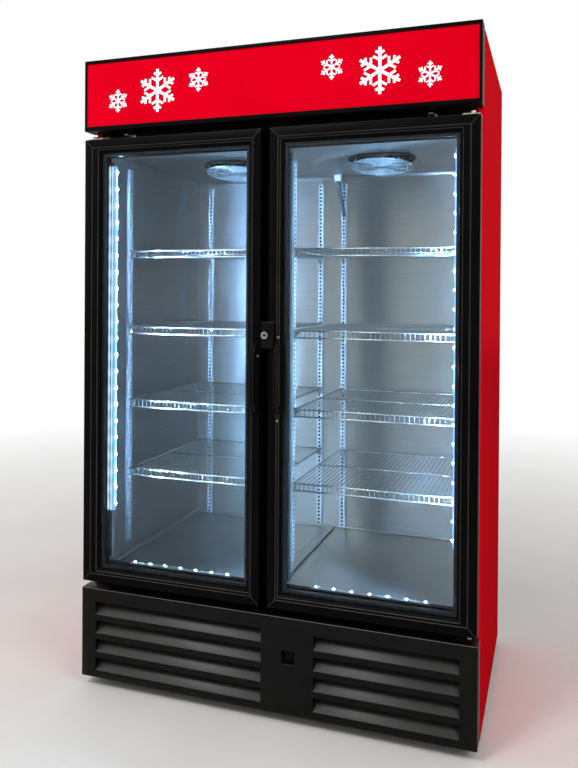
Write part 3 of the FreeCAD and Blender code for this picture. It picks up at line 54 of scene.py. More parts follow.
NODES = frame["nodes"]
DOOR_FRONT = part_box("left_door_frame")[0].y
CABINET_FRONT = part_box("front_frame")[0].y
LINER_SHEET = 0.001
INNER_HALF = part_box("inner_liner")[1].x - LINER_SHEET
INNER_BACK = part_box("inner_liner")[1].y - LINER_SHEET
SIDES = {"left": -1, "right": 1}
FRONTWARD, BACKWARD, UPWARD, DOWNWARD = (0, -1, 0), (0, 1, 0), (0, 0, 1), (0, 0, -1)
# Places closer than TINY or NEAR count as one.  A normal above MOSTLY faces that way, one above LEAN leans
# that way, and a cutting shape stands OVERCUT out of the piece that it cuts.
TINY, NEAR, MOSTLY, LEAN, OVERCUT = 0.0001, 0.001, 0.9, 0.3, 0.01
print("door front at", round(DOOR_FRONT, 4), "cabinet front at", round(CABINET_FRONT, 4))

# %% [markdown]
# ## Materials
# Each material starts from the real one: what it is made of, how its surface was made and what that gives
# the eye.  Colours are written as on a paint card, in sRGB, and one function turns them to linear light.
# One small function adds a node with its settings and links, so each recipe reads from top to bottom.

# %% Colours and nodes
def linear(code):
    """A colour written as six hexadecimal digits, as the linear values that shaders use."""
    channels = [int(code[place:place + 2], 16) / 255 for place in (0, 2, 4)]
    return [c / 12.92 if c <= 0.04045 else ((c + 0.055) / 1.055) ** 2.4 for c in channels] + [1.0]


def add_node(material, kind, settings=None, **links):
    """Add one shader node.  Settings fill its sockets, its fields or the stops of a ramp; links name the
    socket, with _ for a space, and the output that feeds it.  A socket's number may stand after a _."""
    node = material.node_tree.nodes.new("ShaderNode" + kind)
    for name, value in (settings or {}).items():
        if name == "stops":
            for element, (place, code) in zip(node.color_ramp.elements, value):
                element.position = place
                element.color = linear(code)
        elif name.startswith("_"):
            node.inputs[int(name[1:])].default_value = value
        elif name in node.inputs:
            node.inputs[name].default_value = value
        else:
            setattr(node, name, value)
    for name, source in links.items():
        socket = node.inputs[int(name[1:])] if name.startswith("_") else node.inputs[name.replace("_", " ")]
        material.node_tree.links.new(source, socket)
    return node


def new_material(name):
    """A material with an empty node tree, and object coordinates in metres for its patterns."""
    material = bpy.data.materials.new(name)
    material.use_nodes = True
    material.node_tree.nodes.clear()
    return material, add_node(material, "TexCoord").outputs["Object"]


def clouded(material, place, low, high, scale, detail=2.0):
    """A colour that drifts between two tones with soft clouds, and the clouds themselves."""
    cloud = add_node(material, "TexNoise", {"Scale": scale, "Detail": detail}, Vector=place).outputs["Fac"]
    color = add_node(material, "ValToRGB", {"stops": [(0.3, low), (0.7, high)]}, Fac=cloud)
    return color.outputs["Color"], cloud


# %% [markdown]
# ### Paint and plastic
# The sides are gloss enamel on sheet steel: deep red under a thin clear skin with a faint orange peel.
# The front is black powder coat, a satin skin with a fine pebble, and the small fittings are moulded
# plastic and rubber.  The pebble of the real coat is 0.3 mm wide; here it is drawn 1 mm wide to show.

# %% Paint and plastic
def red_enamel():
    """Gloss enamel on sheet steel: deep red, with a red-tinted shine that grows towards the edges."""
    material, place = new_material("red_enamel")
    color, _ = clouded(material, place, "DA0818", "E40C1E", 3.0)
    peel = add_node(material, "TexNoise", {"Scale": 240.0}, Vector=place).outputs["Fac"]
    relief = add_node(material, "Bump", {"Strength": 0.03, "Distance": 0.001}, Height=peel).outputs["Normal"]
    body = add_node(material, "BsdfPrincipled", {"Roughness": 0.5, "Specular IOR Level": 0.0},
                    Base_Color=color, Normal=relief).outputs["BSDF"]
    shine = add_node(material, "BsdfAnisotropic", {"Color": linear("C21A22"), "Roughness": 0.28},
                     Normal=relief).outputs["BSDF"]
    share = add_node(material, "Fresnel", {"IOR": 1.3}).outputs["Fac"]
    shader = add_node(material, "MixShader", Fac=share, _1=body, _2=shine)
    add_node(material, "OutputMaterial", Surface=shader.outputs["Shader"])
    return material


def black_coat(name, low, high, shine):
    """Black coat on metal: satin, with a fine pebble that breaks up the lamps."""
    material, place = new_material(name)
    color, cloud = clouded(material, place, low, high, 8.0, 4.0)
    gloss = add_node(material, "MapRange", {"To Min": 0.34, "To Max": 0.46}, Value=cloud)
    pebble = add_node(material, "TexNoise", {"Scale": 1000.0}, Vector=place).outputs["Fac"]
    relief = add_node(material, "Bump", {"Strength": 0.12, "Distance": 0.0003}, Height=pebble)
    shader = add_node(material, "BsdfPrincipled", {"Specular IOR Level": shine}, Base_Color=color,
                      Roughness=gloss.outputs["Result"], Normal=relief.outputs["Normal"])
    add_node(material, "OutputMaterial", Surface=shader.outputs["BSDF"])
    return material


def moulded(name, low, high, roughness, shine=0.06):
    """Moulded plastic, rubber or foam: one body colour with slight clouding and a light mould grain."""
    material, place = new_material(name)
    color, _ = clouded(material, place, low, high, 30.0)
    grain = add_node(material, "TexNoise", {"Scale": 1400.0}, Vector=place).outputs["Fac"]
    relief = add_node(material, "Bump", {"Strength": 0.1, "Distance": 0.0003}, Height=grain)
    shader = add_node(material, "BsdfPrincipled", {"Roughness": roughness, "Specular IOR Level": shine},
                      Base_Color=color, Normal=relief.outputs["Normal"])
    add_node(material, "OutputMaterial", Surface=shader.outputs["BSDF"])
    return material


# %% [markdown]
# ### Metals
# The inside is stainless sheet brushed sideways.  Brushing makes the shine lopsided: lights draw out into
# tall soft streaks, which is what tells the eye that it is brushed steel.  The anisotropy of the shader
# gives that, turned by a quarter so that the streaks stand upright.  Wires and brackets are zinc plated.

# %% Metals
def brushed_steel():
    """Stainless sheet with a fine sideways grain: grey, with upright streaks under each light."""
    material, place = new_material("brushed_stainless")
    long_cells = add_node(material, "Mapping", {"Scale": (5.0, 5.0, 700.0)}, Vector=place).outputs["Vector"]
    color, _ = clouded(material, long_cells, "9C9B9A", "ACABA9", 1.0, 3.0)
    cloud = add_node(material, "TexNoise", {"Scale": 5.0, "Detail": 3.0}, Vector=place).outputs["Fac"]
    gloss = add_node(material, "MapRange", {"To Min": 0.26, "To Max": 0.33}, Value=cloud)
    grip = add_node(material, "Tangent", {"direction_type": "RADIAL", "axis": "Z"}).outputs["Tangent"]
    shader = add_node(material, "BsdfPrincipled",
                      {"Metallic": 1.0, "Anisotropic": 0.75, "Anisotropic Rotation": 0.25},
                      Base_Color=color, Roughness=gloss.outputs["Result"], Tangent=grip)
    add_node(material, "OutputMaterial", Surface=shader.outputs["BSDF"])
    return material


def plated_metal(name, low, high, roughness, cells, metallic=1.0):
    """Plated, drawn or mill-finish metal: bright, with soft clouds in its colour and its gloss."""
    material, place = new_material(name)
    color, cloud = clouded(material, place, low, high, cells, 4.0)
    gloss = add_node(material, "MapRange", {"To Min": roughness - 0.06, "To Max": roughness + 0.06},
                     Value=cloud)
    shader = add_node(material, "BsdfPrincipled", {"Metallic": metallic}, Base_Color=color,
                      Roughness=gloss.outputs["Result"])
    add_node(material, "OutputMaterial", Surface=shader.outputs["BSDF"])
    return material


def galvanised_sheet():
    """Hot-dipped sheet: dull grey, with zinc crystals a centimetre wide that shine a little differently."""
    material, place = new_material("galvanised_sheet")
    crystals = add_node(material, "TexVoronoi", {"Scale": 90.0}, Vector=place).outputs["Color"]
    tone = add_node(material, "SeparateColor", Color=crystals).outputs["Red"]
    color = add_node(material, "ValToRGB", {"stops": [(0.0, "929496"), (1.0, "A2A4A6")]}, Fac=tone)
    gloss = add_node(material, "MapRange", {"To Min": 0.38, "To Max": 0.48}, Value=tone)
    shader = add_node(material, "BsdfPrincipled", {"Metallic": 0.8}, Base_Color=color.outputs["Color"],
                      Roughness=gloss.outputs["Result"])
    add_node(material, "OutputMaterial", Surface=shader.outputs["BSDF"])
    return material


# %% [markdown]
# ### Glass and light
# Each door holds two panes of coated float glass.  Almost all light goes through, so a transparent shader
# is mixed with a small mirror that grows towards the edges, as Fresnel's law has it.  The diodes and the
# sign give light of their own, so the inside of the cooler is lit by its own strips.

# %% Glass and light
def coated_glass():
    """Float glass with a clear coating: a faint cool cast and a weak mirror."""
    material, place = new_material("coated_glass")
    tint, _ = clouded(material, place, "FAFDFD", "FDFEFE", 1.5)
    through = add_node(material, "BsdfTransparent", Color=tint).outputs["BSDF"]
    mirror = add_node(material, "BsdfAnisotropic", {"Roughness": 0.02}).outputs["BSDF"]
    share = add_node(material, "Fresnel", {"IOR": 1.16}).outputs["Fac"]
    shader = add_node(material, "MixShader", Fac=share, _1=through, _2=mirror)
    add_node(material, "OutputMaterial", Surface=shader.outputs["Shader"])
    return material


def lit(name, low, high, strength):
    """A body that gives light: a diode, its cover or the sign, with slight clouding along its length."""
    material, place = new_material(name)
    color, _ = clouded(material, place, low, high, 6.0)
    shader = add_node(material, "BsdfPrincipled",
                      {"Roughness": 0.4, "Specular IOR Level": 0.0, "Emission Strength": strength},
                      Base_Color=color, Emission_Color=color)
    add_node(material, "OutputMaterial", Surface=shader.outputs["BSDF"])
    return material


def ribbed_lens(rib, pitch, first_rib):
    """Ribbed cover over diodes: pale blue light, brighter along its ribs and near each diode."""
    material, place = new_material("ribbed_lens")
    # A wave texture goes through 20 radians in each unit, so this scale gives one wave in each metre.
    one_wave = math.pi / 10
    phase = math.pi - 2 * math.pi * first_rib / rib
    ribs = add_node(material, "TexWave", {"Scale": one_wave / rib, "Phase Offset": phase}, Vector=place)
    spots = add_node(material, "TexWave", {"Scale": one_wave / pitch, "bands_direction": "Z"}, Vector=place)
    glow = add_node(material, "Math", {"operation": "MULTIPLY_ADD", "_1": 0.4},
                    _0=spots.outputs["Fac"], _2=ribs.outputs["Fac"]).outputs["Value"]
    color = add_node(material, "ValToRGB", {"stops": [(0.25, "4A7FB8"), (1.0, "DDF5FF")]}, Fac=glow)
    shader = add_node(material, "BsdfPrincipled", {"Base Color": linear("101418"), "Specular IOR Level": 0.0,
                                                   "Emission Strength": 1.0},
                      Emission_Color=color.outputs["Color"])
    add_node(material, "OutputMaterial", Surface=shader.outputs["BSDF"])
    return material


# %% Paint the CAD pieces
MATERIALS = {
    "red_paint": red_enamel(),
    "black_paint": black_coat("black_anodised", "050404", "090808", 0.03),
    "stainless_steel": brushed_steel(),
    "zinc_plated_steel": plated_metal("zinc_plate", "827F77", "A09D94", 0.34, 14.0),
    "bright_wire": plated_metal("bright_zinc_wire", "A6AAAD", "C0C4C6", 0.24, 60.0),
    "insulation": moulded("rigid_foam", "CDB878", "DCC88C", 0.85),
    "sign_red": lit("red_acrylic", "D0001A", "DA001E", 0.1),
    "light_white": lit("diode_light", "7EBBFF", "8AC4FF", 60.0),
    "clear_glass": coated_glass(),
    "spacer_metal": plated_metal("dark_spacer", "24272A", "303438", 0.4, 20.0),
    "black_rubber": moulded("black_rubber", "090909", "101010", 0.7),
    "black_plastic": moulded("black_moulding", "080808", "0C0C0C", 0.34),
    "white_plastic": moulded("white_nylon", "D9DAD6", "E6E7E3", 0.45),
    "grey_plastic": moulded("grey_moulding", "3E4246", "4C5054", 0.5),
    "fin_aluminium": plated_metal("fin_aluminium", "54575A", "6A6D70", 0.4, 30.0),
    "copper": plated_metal("copper_tube", "9A5A3A", "B8724C", 0.32, 25.0),
    "black_enamel": moulded("black_enamel", "0C0C0C", "141414", 0.3),
}
# Two lighter greys that are painted on narrow edge faces as highlights.
PAINTED_EDGE_HIGHLIGHT = black_coat("painted_edge_highlight", "343230", "403E3B", 0.1)
PAINTED_BRIGHT_HIGHLIGHT = black_coat("painted_bright_highlight", "706E6A", "82807B", 0.1)
# A near black that is painted into slots and hollows as shade.
PAINTED_SLOT_SHADE = moulded("painted_slot_shade", "010101", "030303", 0.8, 0.0)
GALVANISED = galvanised_sheet()
for entry in frame["record"]["subparts"]:
    mesh = NODES[entry["node"]].data
    mesh.materials.clear()
    mesh.materials.append(MATERIALS[entry["material_slot"]])
NODES["top_panel"].data.materials[0] = GALVANISED
print("painted", len(NODES), "CAD pieces")

# %% [markdown]
# ## Tools for modelling
# Every new piece starts as a cube, a cylinder or a ring at its real size and place.  It is then shaped in
# edit mode, where faces are picked by their place or by the way they face, and finished by modifiers.
# The place goes into the mesh, so that each object stays at the origin as the CAD pieces do.

# %% Start a piece
def choose(piece):
    """Make one piece the only selected one and the active one."""
    bpy.ops.object.select_all(action="DESELECT")
    piece.select_set(True)
    bpy.context.view_layer.objects.active = piece


def settle(name):
    """Name the active piece and put its place, turn and scale into its mesh."""
    piece = bpy.context.object
    piece.name = name
    bpy.ops.object.transform_apply(location=True, rotation=True, scale=True)
    return piece


def bar(name, low, high):
    """A cube scaled to the space between two corners."""
    bpy.ops.object.select_all(action="DESELECT")
    bpy.ops.mesh.primitive_cube_add(size=1.0, location=[(a + b) / 2 for a, b in zip(low, high)])
    bpy.context.object.scale = [b - a for a, b in zip(low, high)]
    return settle(name)


def rod(name, start, end, radius, sides=16):
    """A cylinder between two points."""
    bpy.ops.object.select_all(action="DESELECT")
    along = Vector(end) - Vector(start)
    bpy.ops.mesh.primitive_cylinder_add(
        vertices=sides, radius=radius, depth=along.length, location=Vector(start) + along / 2,
        rotation=along.to_track_quat("Z", "Y").to_euler())
    return settle(name)


def axle(name, middle, front, back, radius, sides=40):
    """A cylinder through a middle, from a place in front to one behind it."""
    return rod(name, (middle.x, front, middle.z), (middle.x, back, middle.z), radius, sides)


# %% Pick
def close_edit():
    """Leave edit mode."""
    bpy.ops.object.mode_set(mode="OBJECT")


def clear_picks(piece, kind):
    """Leave nothing of a piece selected, seen as faces, edges or points."""
    choose(piece)
    bpy.ops.object.mode_set(mode="EDIT")
    bpy.ops.mesh.select_mode(type=kind)
    bpy.ops.mesh.select_all(action="DESELECT")
    close_edit()


def pick_faces(piece, test):
    """Open a piece for editing with only the faces selected whose centre and normal pass a test."""
    clear_picks(piece, "FACE")
    for face in piece.data.polygons:
        face.select = test(face.center, face.normal)
    bpy.ops.object.mode_set(mode="EDIT")


def pick_edges(piece, test):
    """Open a piece for editing with only the edges selected whose two ends pass a test."""
    clear_picks(piece, "EDGE")
    for edge in piece.data.edges:
        edge.select = test(*(piece.data.vertices[index].co for index in edge.vertices))
    bpy.ops.object.mode_set(mode="EDIT")


def pick_points(piece, test):
    """Open a piece for editing with only the points selected that pass a test."""
    clear_picks(piece, "VERT")
    for point in piece.data.vertices:
        point.select = test(point.co)
    bpy.ops.object.mode_set(mode="EDIT")


def faces_front(centre, normal):
    """Whether a face looks to the front."""
    return normal.y < -MOSTLY


def faces_back(centre, normal):
    """Whether a face looks to the back."""
    return normal.y > MOSTLY


def faces_down(centre, normal):
    """Whether a face looks down."""
    return normal.z < -MOSTLY


def off_middle(place, middle):
    """How far a place lies from a middle, seen from the front."""
    return math.hypot(place.x - middle.x, place.z - middle.z)


# %% Change and finish
def modify(piece, kind, **settings):
    """Add a modifier with its settings and apply it."""
    choose(piece)
    modifier = piece.modifiers.new(kind.lower(), kind)
    for name, value in settings.items():
        setattr(modifier, name, value)
    bpy.ops.object.modifier_apply(modifier=modifier.name)
    return piece


def soften(piece, width, segments=2):
    """Round the sharp edges, as pressing, moulding or filing leaves them."""
    return modify(piece, "BEVEL", width=width, segments=segments, limit_method="ANGLE",
                  angle_limit=math.radians(40))


def sink(piece, test, rim, depth):
    """Sink the faces that pass a test, inside a rim."""
    pick_faces(piece, test)
    bpy.ops.mesh.inset(thickness=rim, depth=-depth)
    close_edit()


def push(step):
    """Draw the picked faces along a step, with walls behind them."""
    bpy.ops.mesh.extrude_region_move(TRANSFORM_OT_translate={"value": step})


def carve(piece, *tools):
    """Cut the shapes of the tools out of a piece."""
    for tool in tools:
        modify(piece, "BOOLEAN", operation="DIFFERENCE", object=tool, solver="EXACT")
        bpy.data.objects.remove(tool)
    return piece


def add_shape(piece, other):
    """Melt another shape into a piece."""
    modify(piece, "BOOLEAN", operation="UNION", object=other, solver="EXACT")
    bpy.data.objects.remove(other)


def row(piece, count, step, **settings):
    """Repeat a piece along a step."""
    return modify(piece, "ARRAY", count=count, use_relative_offset=False, use_constant_offset=True,
                  constant_offset_displace=step, **settings)


def join(name, pieces):
    """Join pieces into one."""
    choose(pieces[0])
    for piece in pieces:
        piece.select_set(True)
    if len(pieces) > 1:
        bpy.ops.object.join()
    pieces[0].name = name
    return pieces[0]


def turn_outward():
    """Let all faces of the active piece look outward, and leave edit mode."""
    bpy.ops.object.mode_set(mode="EDIT")
    bpy.ops.mesh.select_all(action="SELECT")
    bpy.ops.mesh.normals_make_consistent(inside=False)
    close_edit()


def copy_of(piece, name, move=(0, 0, 0), turn=0.0, mirror=1):
    """A copy with its own mesh, mirrored across X = 0 or turned about Z, then moved."""
    choose(piece)
    bpy.ops.object.duplicate()
    copy = bpy.context.object
    copy.scale.x = mirror
    copy.rotation_euler.z = turn
    copy.location = move
    settle(name)
    turn_outward()
    return copy


def dress(piece, body, slot, *nodes):
    """Give a piece its finish and its body, and let it stand for CAD nodes."""
    choose(piece)
    bpy.ops.object.shade_smooth_by_angle(angle=math.radians(35))
    if not piece.data.materials:
        piece.data.materials.append(MATERIALS[slot])
    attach(piece, body)
    if nodes:
        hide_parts(*nodes)
    print(piece.name, "has", len(piece.data.polygons), "faces")
    return piece


def refinish(piece, finish, test):
    """Give the faces whose centre and normal pass a test another finish."""
    piece.data.materials.append(finish)
    for face in piece.data.polygons:
        if test(face.center, face.normal):
            face.material_index = len(piece.data.materials) - 1


def ring(name, low, high, width):
    """A flat rectangular ring that faces the front: two insets joined by a bridge."""
    piece = bar(name, low, high)
    middle = (Vector(low) + Vector(high)) / 2
    sink(piece, lambda centre, normal: abs(normal.y) > MOSTLY, width, 0.0)
    pick_faces(piece, lambda centre, normal: (
        abs(normal.y) > MOSTLY and off_middle(centre, middle) < 0.5 * width))
    bpy.ops.mesh.bridge_edge_loops()
    close_edit()
    return piece


# %% [markdown]
# ## Door frames
# Each door frame is a black extrusion with mitred corners: a flat face, a fine shadow groove, a step, a
# bevel down to the glass and a channel that holds the two panes.  It could be built from four sticks; here
# a block of the door's size gets one inset after another on its front, which turns the corners by itself.
# The hinge stile is wider than the latch stile, so the step is stretched sideways.  Along its edges and at
# the mitres a lighter grey is painted on as a highlight, and these fine painted lines show the section to the
# eye.

# %% Door frame
BITE_OF_GLASS, GLASS_SLACK, WINDOW_MIDDLE = 0.011, 0.0005, 0.1
GLAZING_FRONT, GLAZING_BACK, DOOR_BACK = 0.012, 0.036, 0.045
FRAME_FLAT, FRAME_BEAD, MITRE_SEAM, OUTER_EDGE = 0.024, 0.0106, 0.0007, 0.0014
# Each step is the width of an inset and its drop.
GROOVE_STEPS = ((0.0016, 0.0012), (0.0014, 0.0), (0.0006, -0.0008))
BEAD_STEPS = ((0.0014, 0.0024), (0.0080, 0.0050), (0.0012, 0.0030))
# The last two numbers bound the faces that get a painted highlight: how deep behind the front, and how flat.
SLOPE_DROP, HIGHLIGHT_DEPTH, NEARLY_FLAT = 0.0012, 0.0045, 0.95


def sight_lines(name):
    """The corners of the glass that shows inside a door's frame."""
    low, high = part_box(f"{name}_door_glass")
    bite = Vector((BITE_OF_GLASS, 0, BITE_OF_GLASS))
    return low + bite, high - bite


def fit_sideways(name, edge_inset):
    """Stretch the picked face so that its sides stand this far outside the sight lines."""
    low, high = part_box(f"{name}_door_frame")
    see_low, see_high = sight_lines(name)
    rail = see_low.z - low.z
    old_half = (high.x - low.x) / 2 - (rail - edge_inset)
    new_half = (see_high.x - see_low.x) / 2 + edge_inset
    old_middle, new_middle = (low.x + high.x) / 2, (see_low.x + see_high.x) / 2
    bpy.ops.transform.resize(value=(new_half / old_half, 1, 1), center_override=(old_middle, 0, 0))
    bpy.ops.transform.translate(value=(new_middle - old_middle, 0, 0))


def is_mitre(first, last):
    """Whether an edge between two points is a mitre of the flat face."""
    across = first - last
    in_front = max(first.y, last.y) < DOOR_FRONT + TINY
    return in_front and min(abs(across.x), abs(across.z)) > MOSTLY * FRAME_FLAT


def paint_edge_highlights(piece, low, high):
    """Paint highlights in lighter grey on the step edges, the mitre seams and the outer edges."""
    for finish in (MATERIALS["black_paint"], PAINTED_EDGE_HIGHLIGHT, PAINTED_BRIGHT_HIGHLIGHT):
        piece.data.materials.append(finish)
    for face in piece.data.polygons:
        depth = face.center.y - DOOR_FRONT
        inward = [min(face.center[axis] - low[axis], high[axis] - face.center[axis]) for axis in (0, 2)]
        tilted = LEAN < -face.normal.y < NEARLY_FLAT and depth < HIGHLIGHT_DEPTH
        seam = depth < TINY and abs(inward[0] - inward[1]) < MITRE_SEAM and max(inward) < FRAME_FLAT
        if min(inward) < 2 * OUTER_EDGE:
            face.material_index = 2 if tilted and face.normal.z > LEAN else 0
        else:
            face.material_index = int(tilted or seam)


def door_frame(name):
    """The whole frame of one door with its profile."""
    low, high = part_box(f"{name}_door_frame")
    see_low, see_high = sight_lines(name)
    rail = see_low.z - low.z
    slope = rail - FRAME_FLAT - FRAME_BEAD - sum(width for width, drop in GROOVE_STEPS)
    piece = bar(f"{name}_frame_profile", low, high)
    pick_faces(piece, faces_front)
    for width, drop in ((FRAME_FLAT, 0.0),) + GROOVE_STEPS + ((slope, SLOPE_DROP),):
        bpy.ops.mesh.inset(thickness=width, depth=-drop)
    fit_sideways(name, FRAME_BEAD)
    for width, drop in BEAD_STEPS:
        bpy.ops.mesh.inset(thickness=width, depth=-drop)
    close_edit()
    pick_faces(piece, faces_back)
    bpy.ops.mesh.inset(thickness=rail)
    fit_sideways(name, 0.0)
    push((0, GLAZING_BACK - DOOR_BACK, 0))
    close_edit()
    middle = (see_low + see_high) / 2
    pick_faces(piece, lambda centre, normal: (
        abs(normal.y) > MOSTLY and off_middle(centre, middle) < WINDOW_MIDDLE))
    bpy.ops.mesh.bridge_edge_loops()
    close_edit()
    glazing_middle = DOOR_FRONT + (GLAZING_FRONT + GLAZING_BACK) / 2
    pick_faces(piece, lambda centre, normal: (
        abs(centre.y - glazing_middle) < NEAR and see_low.x - NEAR < centre.x < see_high.x + NEAR
        and see_low.z - NEAR < centre.z < see_high.z + NEAR))
    bpy.ops.mesh.extrude_region_shrink_fatten(
        TRANSFORM_OT_shrink_fatten={"value": -BITE_OF_GLASS - GLASS_SLACK})
    close_edit()
    pick_edges(piece, is_mitre)
    bpy.ops.mesh.bevel(offset=MITRE_SEAM, segments=1)
    close_edit()
    soften(piece, OUTER_EDGE)
    paint_edge_highlights(piece, low, high)
    return dress(piece, f"{name}_door", "black_paint", f"{name}_door_frame")


for side_name in SIDES:
    door_frame(side_name)

# %% [markdown]
# ## Door gaskets
# A soft black gasket runs round the back of each door: a foot pressed into the frame, a bellows and a
# magnetic bead that clings to the cabinet.  Three rings of different widths, softly rounded, give that
# section, and it shows when a door stands open.

# %% Door gasket
# Each ring's start and end behind the door, how far it lies inside the gasket's edge, and its width.
GASKET_RINGS = ((0.0, 0.0035, 0.000, 0.018), (0.0035, 0.0085, 0.004, 0.010), (0.0085, 0.0140, 0.001, 0.016))
GASKET_ROUND = 0.0014


def door_gasket(name):
    """Foot, bellows and bead, from the door towards the cabinet."""
    low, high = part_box(f"{name}_door_gasket")
    rings = []
    for start, end, inset, width in GASKET_RINGS:
        margin = Vector((inset, 0, inset))
        corner_low = Vector((low.x, low.y + start, low.z)) + margin
        corner_high = Vector((high.x, low.y + end, high.z)) - margin
        rings.append(ring(f"{name}_gasket_ring", corner_low, corner_high, width))
    piece = soften(join(f"{name}_gasket_bellows", rings), GASKET_ROUND, 3)
    return dress(piece, f"{name}_door", "black_rubber", f"{name}_door_gasket")


for side_name in SIDES:
    door_gasket(side_name)

# %% [markdown]
# ## Handles
# The handles are slim moulded bows, black on black.  A straight rod is divided along its length, and its
# middle is pulled out with proportional editing, so the whole bar follows in one smooth bow.  Two rounded
# feet carry it.  A painted highlight in lighter grey runs along the right side of each bow, and that fine
# line shows it against the door.

# %% Handle
BOW_DEPTH, BOW_RADIUS, BOW_END, BOW_PULL, BOW_REACH = 0.014, 0.0062, 0.004, 0.0196, 0.098
BOW_CUTS, BOW_MIDDLE, BOW_ROUND, HIGHLIGHT_SIDE, HIGHLIGHT_RISE = 31, 0.002, 0.002, 0.93, 0.010
FOOT_HALF, FOOT_DEPTH, FOOT_HEIGHT, FOOT_ROUND, FOOT_TAPER = 0.0085, 0.019, 0.024, 0.0035, (0.78, 1, 0.86)


def bow_handle(name):
    """A bowed bar between two feet."""
    low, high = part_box(f"{name}_door_handle")
    middle = (low + high) / 2
    bow_y = DOOR_FRONT - BOW_DEPTH
    bow = rod(f"{name}_bow", (middle.x, bow_y, low.z + BOW_END), (middle.x, bow_y, high.z - BOW_END),
              BOW_RADIUS, 20)
    pick_edges(bow, lambda first, last: abs(first.z - last.z) > MOSTLY * (first - last).length)
    bpy.ops.mesh.subdivide(number_cuts=BOW_CUTS)
    close_edit()
    pick_points(bow, lambda place: abs(place.z - middle.z) < BOW_MIDDLE)
    bpy.ops.transform.translate(value=(0, -BOW_PULL, 0), use_proportional_edit=True,
                                proportional_edit_falloff="SPHERE", proportional_size=BOW_REACH)
    close_edit()
    feet = []
    for start in (low.z, high.z - FOOT_HEIGHT):
        foot = bar("foot", (middle.x - FOOT_HALF, DOOR_FRONT - FOOT_DEPTH, start),
                   (middle.x + FOOT_HALF, DOOR_FRONT, start + FOOT_HEIGHT))
        pick_faces(foot, faces_front)
        bpy.ops.transform.resize(value=FOOT_TAPER, center_override=(middle.x, 0, start + FOOT_HEIGHT / 2))
        close_edit()
        feet.append(soften(foot, FOOT_ROUND, 4))
    piece = join(f"{name}_bow_handle", [soften(bow, BOW_ROUND)] + feet)
    piece.data.materials.append(MATERIALS["black_plastic"])
    # The right side of the bow gets a painted highlight in lighter grey.
    refinish(piece, PAINTED_EDGE_HIGHLIGHT, lambda centre, normal: (
        normal.x > HIGHLIGHT_SIDE and centre.y < DOOR_FRONT - HIGHLIGHT_RISE))
    return dress(piece, f"{name}_door", "black_plastic", f"{name}_door_handle")


for side_name in SIDES:
    bow_handle(side_name)

# %% [markdown]
# ## Lock
# A flat black case on the right door carries a bright key cylinder.  The case is a block with an inset
# face; the cylinder has a turned rim, a sunk face and a key slot, and it turns with its own body.

# %% Lock
CASE_LOW, CASE_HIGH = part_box("lock_housing")
PLUG_LOW, PLUG_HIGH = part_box("lock_cylinder")
PLUG_MIDDLE = (PLUG_LOW + PLUG_HIGH) / 2
CASE_RIM, CASE_DROP, CASE_BORE, CASE_ROUND, CASE_EDGE, CASE_LEAN = 0.0022, 0.0008, 0.0078, 0.0012, 0.002, 0.2
COLLAR_RADIUS, COLLAR_BORE, COLLAR_RISE, COLLAR_SEAT, COLLAR_ROUND = 0.0106, 0.0074, 0.0016, 0.0010, 0.0006
PLUG_RIM, PLUG_DROP, PLUG_ROUND = 0.0016, 0.0009, 0.0004
KEY_HALF, KEY_REACH, KEY_DEPTH = 0.0010, 0.0036, 0.006
# Behind the front of the plug, its sunk face and the walls of its key slot lie between these depths.
SUNK_FROM, SUNK_TO, HOLLOW_FROM, HOLLOW_TO = 0.0005, 0.002, 0.0015, 0.007
HOLLOW_HALF, HOLLOW_REACH = 0.002, 0.004
case = bar("lock_case", CASE_LOW, CASE_HIGH)
sink(case, faces_front, CASE_RIM, CASE_DROP)
bore = axle("bore", PLUG_MIDDLE, CASE_LOW.y - OVERCUT, CASE_HIGH.y + OVERCUT, CASE_BORE)
soften(carve(case, bore), CASE_ROUND)
case.data.materials.append(MATERIALS["black_plastic"])
# A lighter grey is painted on the top front edge of the case as a highlight.
refinish(case, PAINTED_BRIGHT_HIGHLIGHT, lambda centre, normal: (
    normal.z > LEAN and normal.y < -CASE_LEAN and centre.z > CASE_HIGH.z - CASE_EDGE))
dress(case, "right_door", "black_plastic", "lock_housing")

collar = axle("lock_collar", PLUG_MIDDLE, CASE_LOW.y - COLLAR_RISE, CASE_LOW.y + COLLAR_SEAT, COLLAR_RADIUS)
carve(collar, axle("bore", PLUG_MIDDLE, CASE_LOW.y - OVERCUT, CASE_LOW.y + OVERCUT, COLLAR_BORE))
dress(soften(collar, COLLAR_ROUND), "right_door", "zinc_plated_steel")

plug = axle("key_cylinder", PLUG_MIDDLE, PLUG_LOW.y, PLUG_HIGH.y, (PLUG_HIGH.x - PLUG_LOW.x) / 2)
sink(plug, faces_front, PLUG_RIM, PLUG_DROP)
key_slot = bar("key_slot", (PLUG_MIDDLE.x - KEY_HALF, PLUG_LOW.y - OVERCUT, PLUG_MIDDLE.z - KEY_REACH),
               (PLUG_MIDDLE.x + KEY_HALF, PLUG_LOW.y + KEY_DEPTH, PLUG_MIDDLE.z + KEY_REACH))
soften(carve(plug, key_slot), PLUG_ROUND)
plug.data.materials.append(MATERIALS["zinc_plated_steel"])
refinish(plug, plated_metal("dark_bronze", "4A3E34", "5C4E42", 0.4, 60.0), lambda centre, normal: (
    faces_front(centre, normal) and SUNK_FROM < centre.y - PLUG_LOW.y < SUNK_TO))
# The walls of the key slot are painted near black as shade.
refinish(plug, PAINTED_SLOT_SHADE, lambda centre, normal: (
    HOLLOW_FROM < centre.y - PLUG_LOW.y < HOLLOW_TO
    and abs(centre.x - PLUG_MIDDLE.x) < HOLLOW_HALF and abs(centre.z - PLUG_MIDDLE.z) < HOLLOW_REACH))
dress(plug, "lock", "zinc_plated_steel", "lock_cylinder")

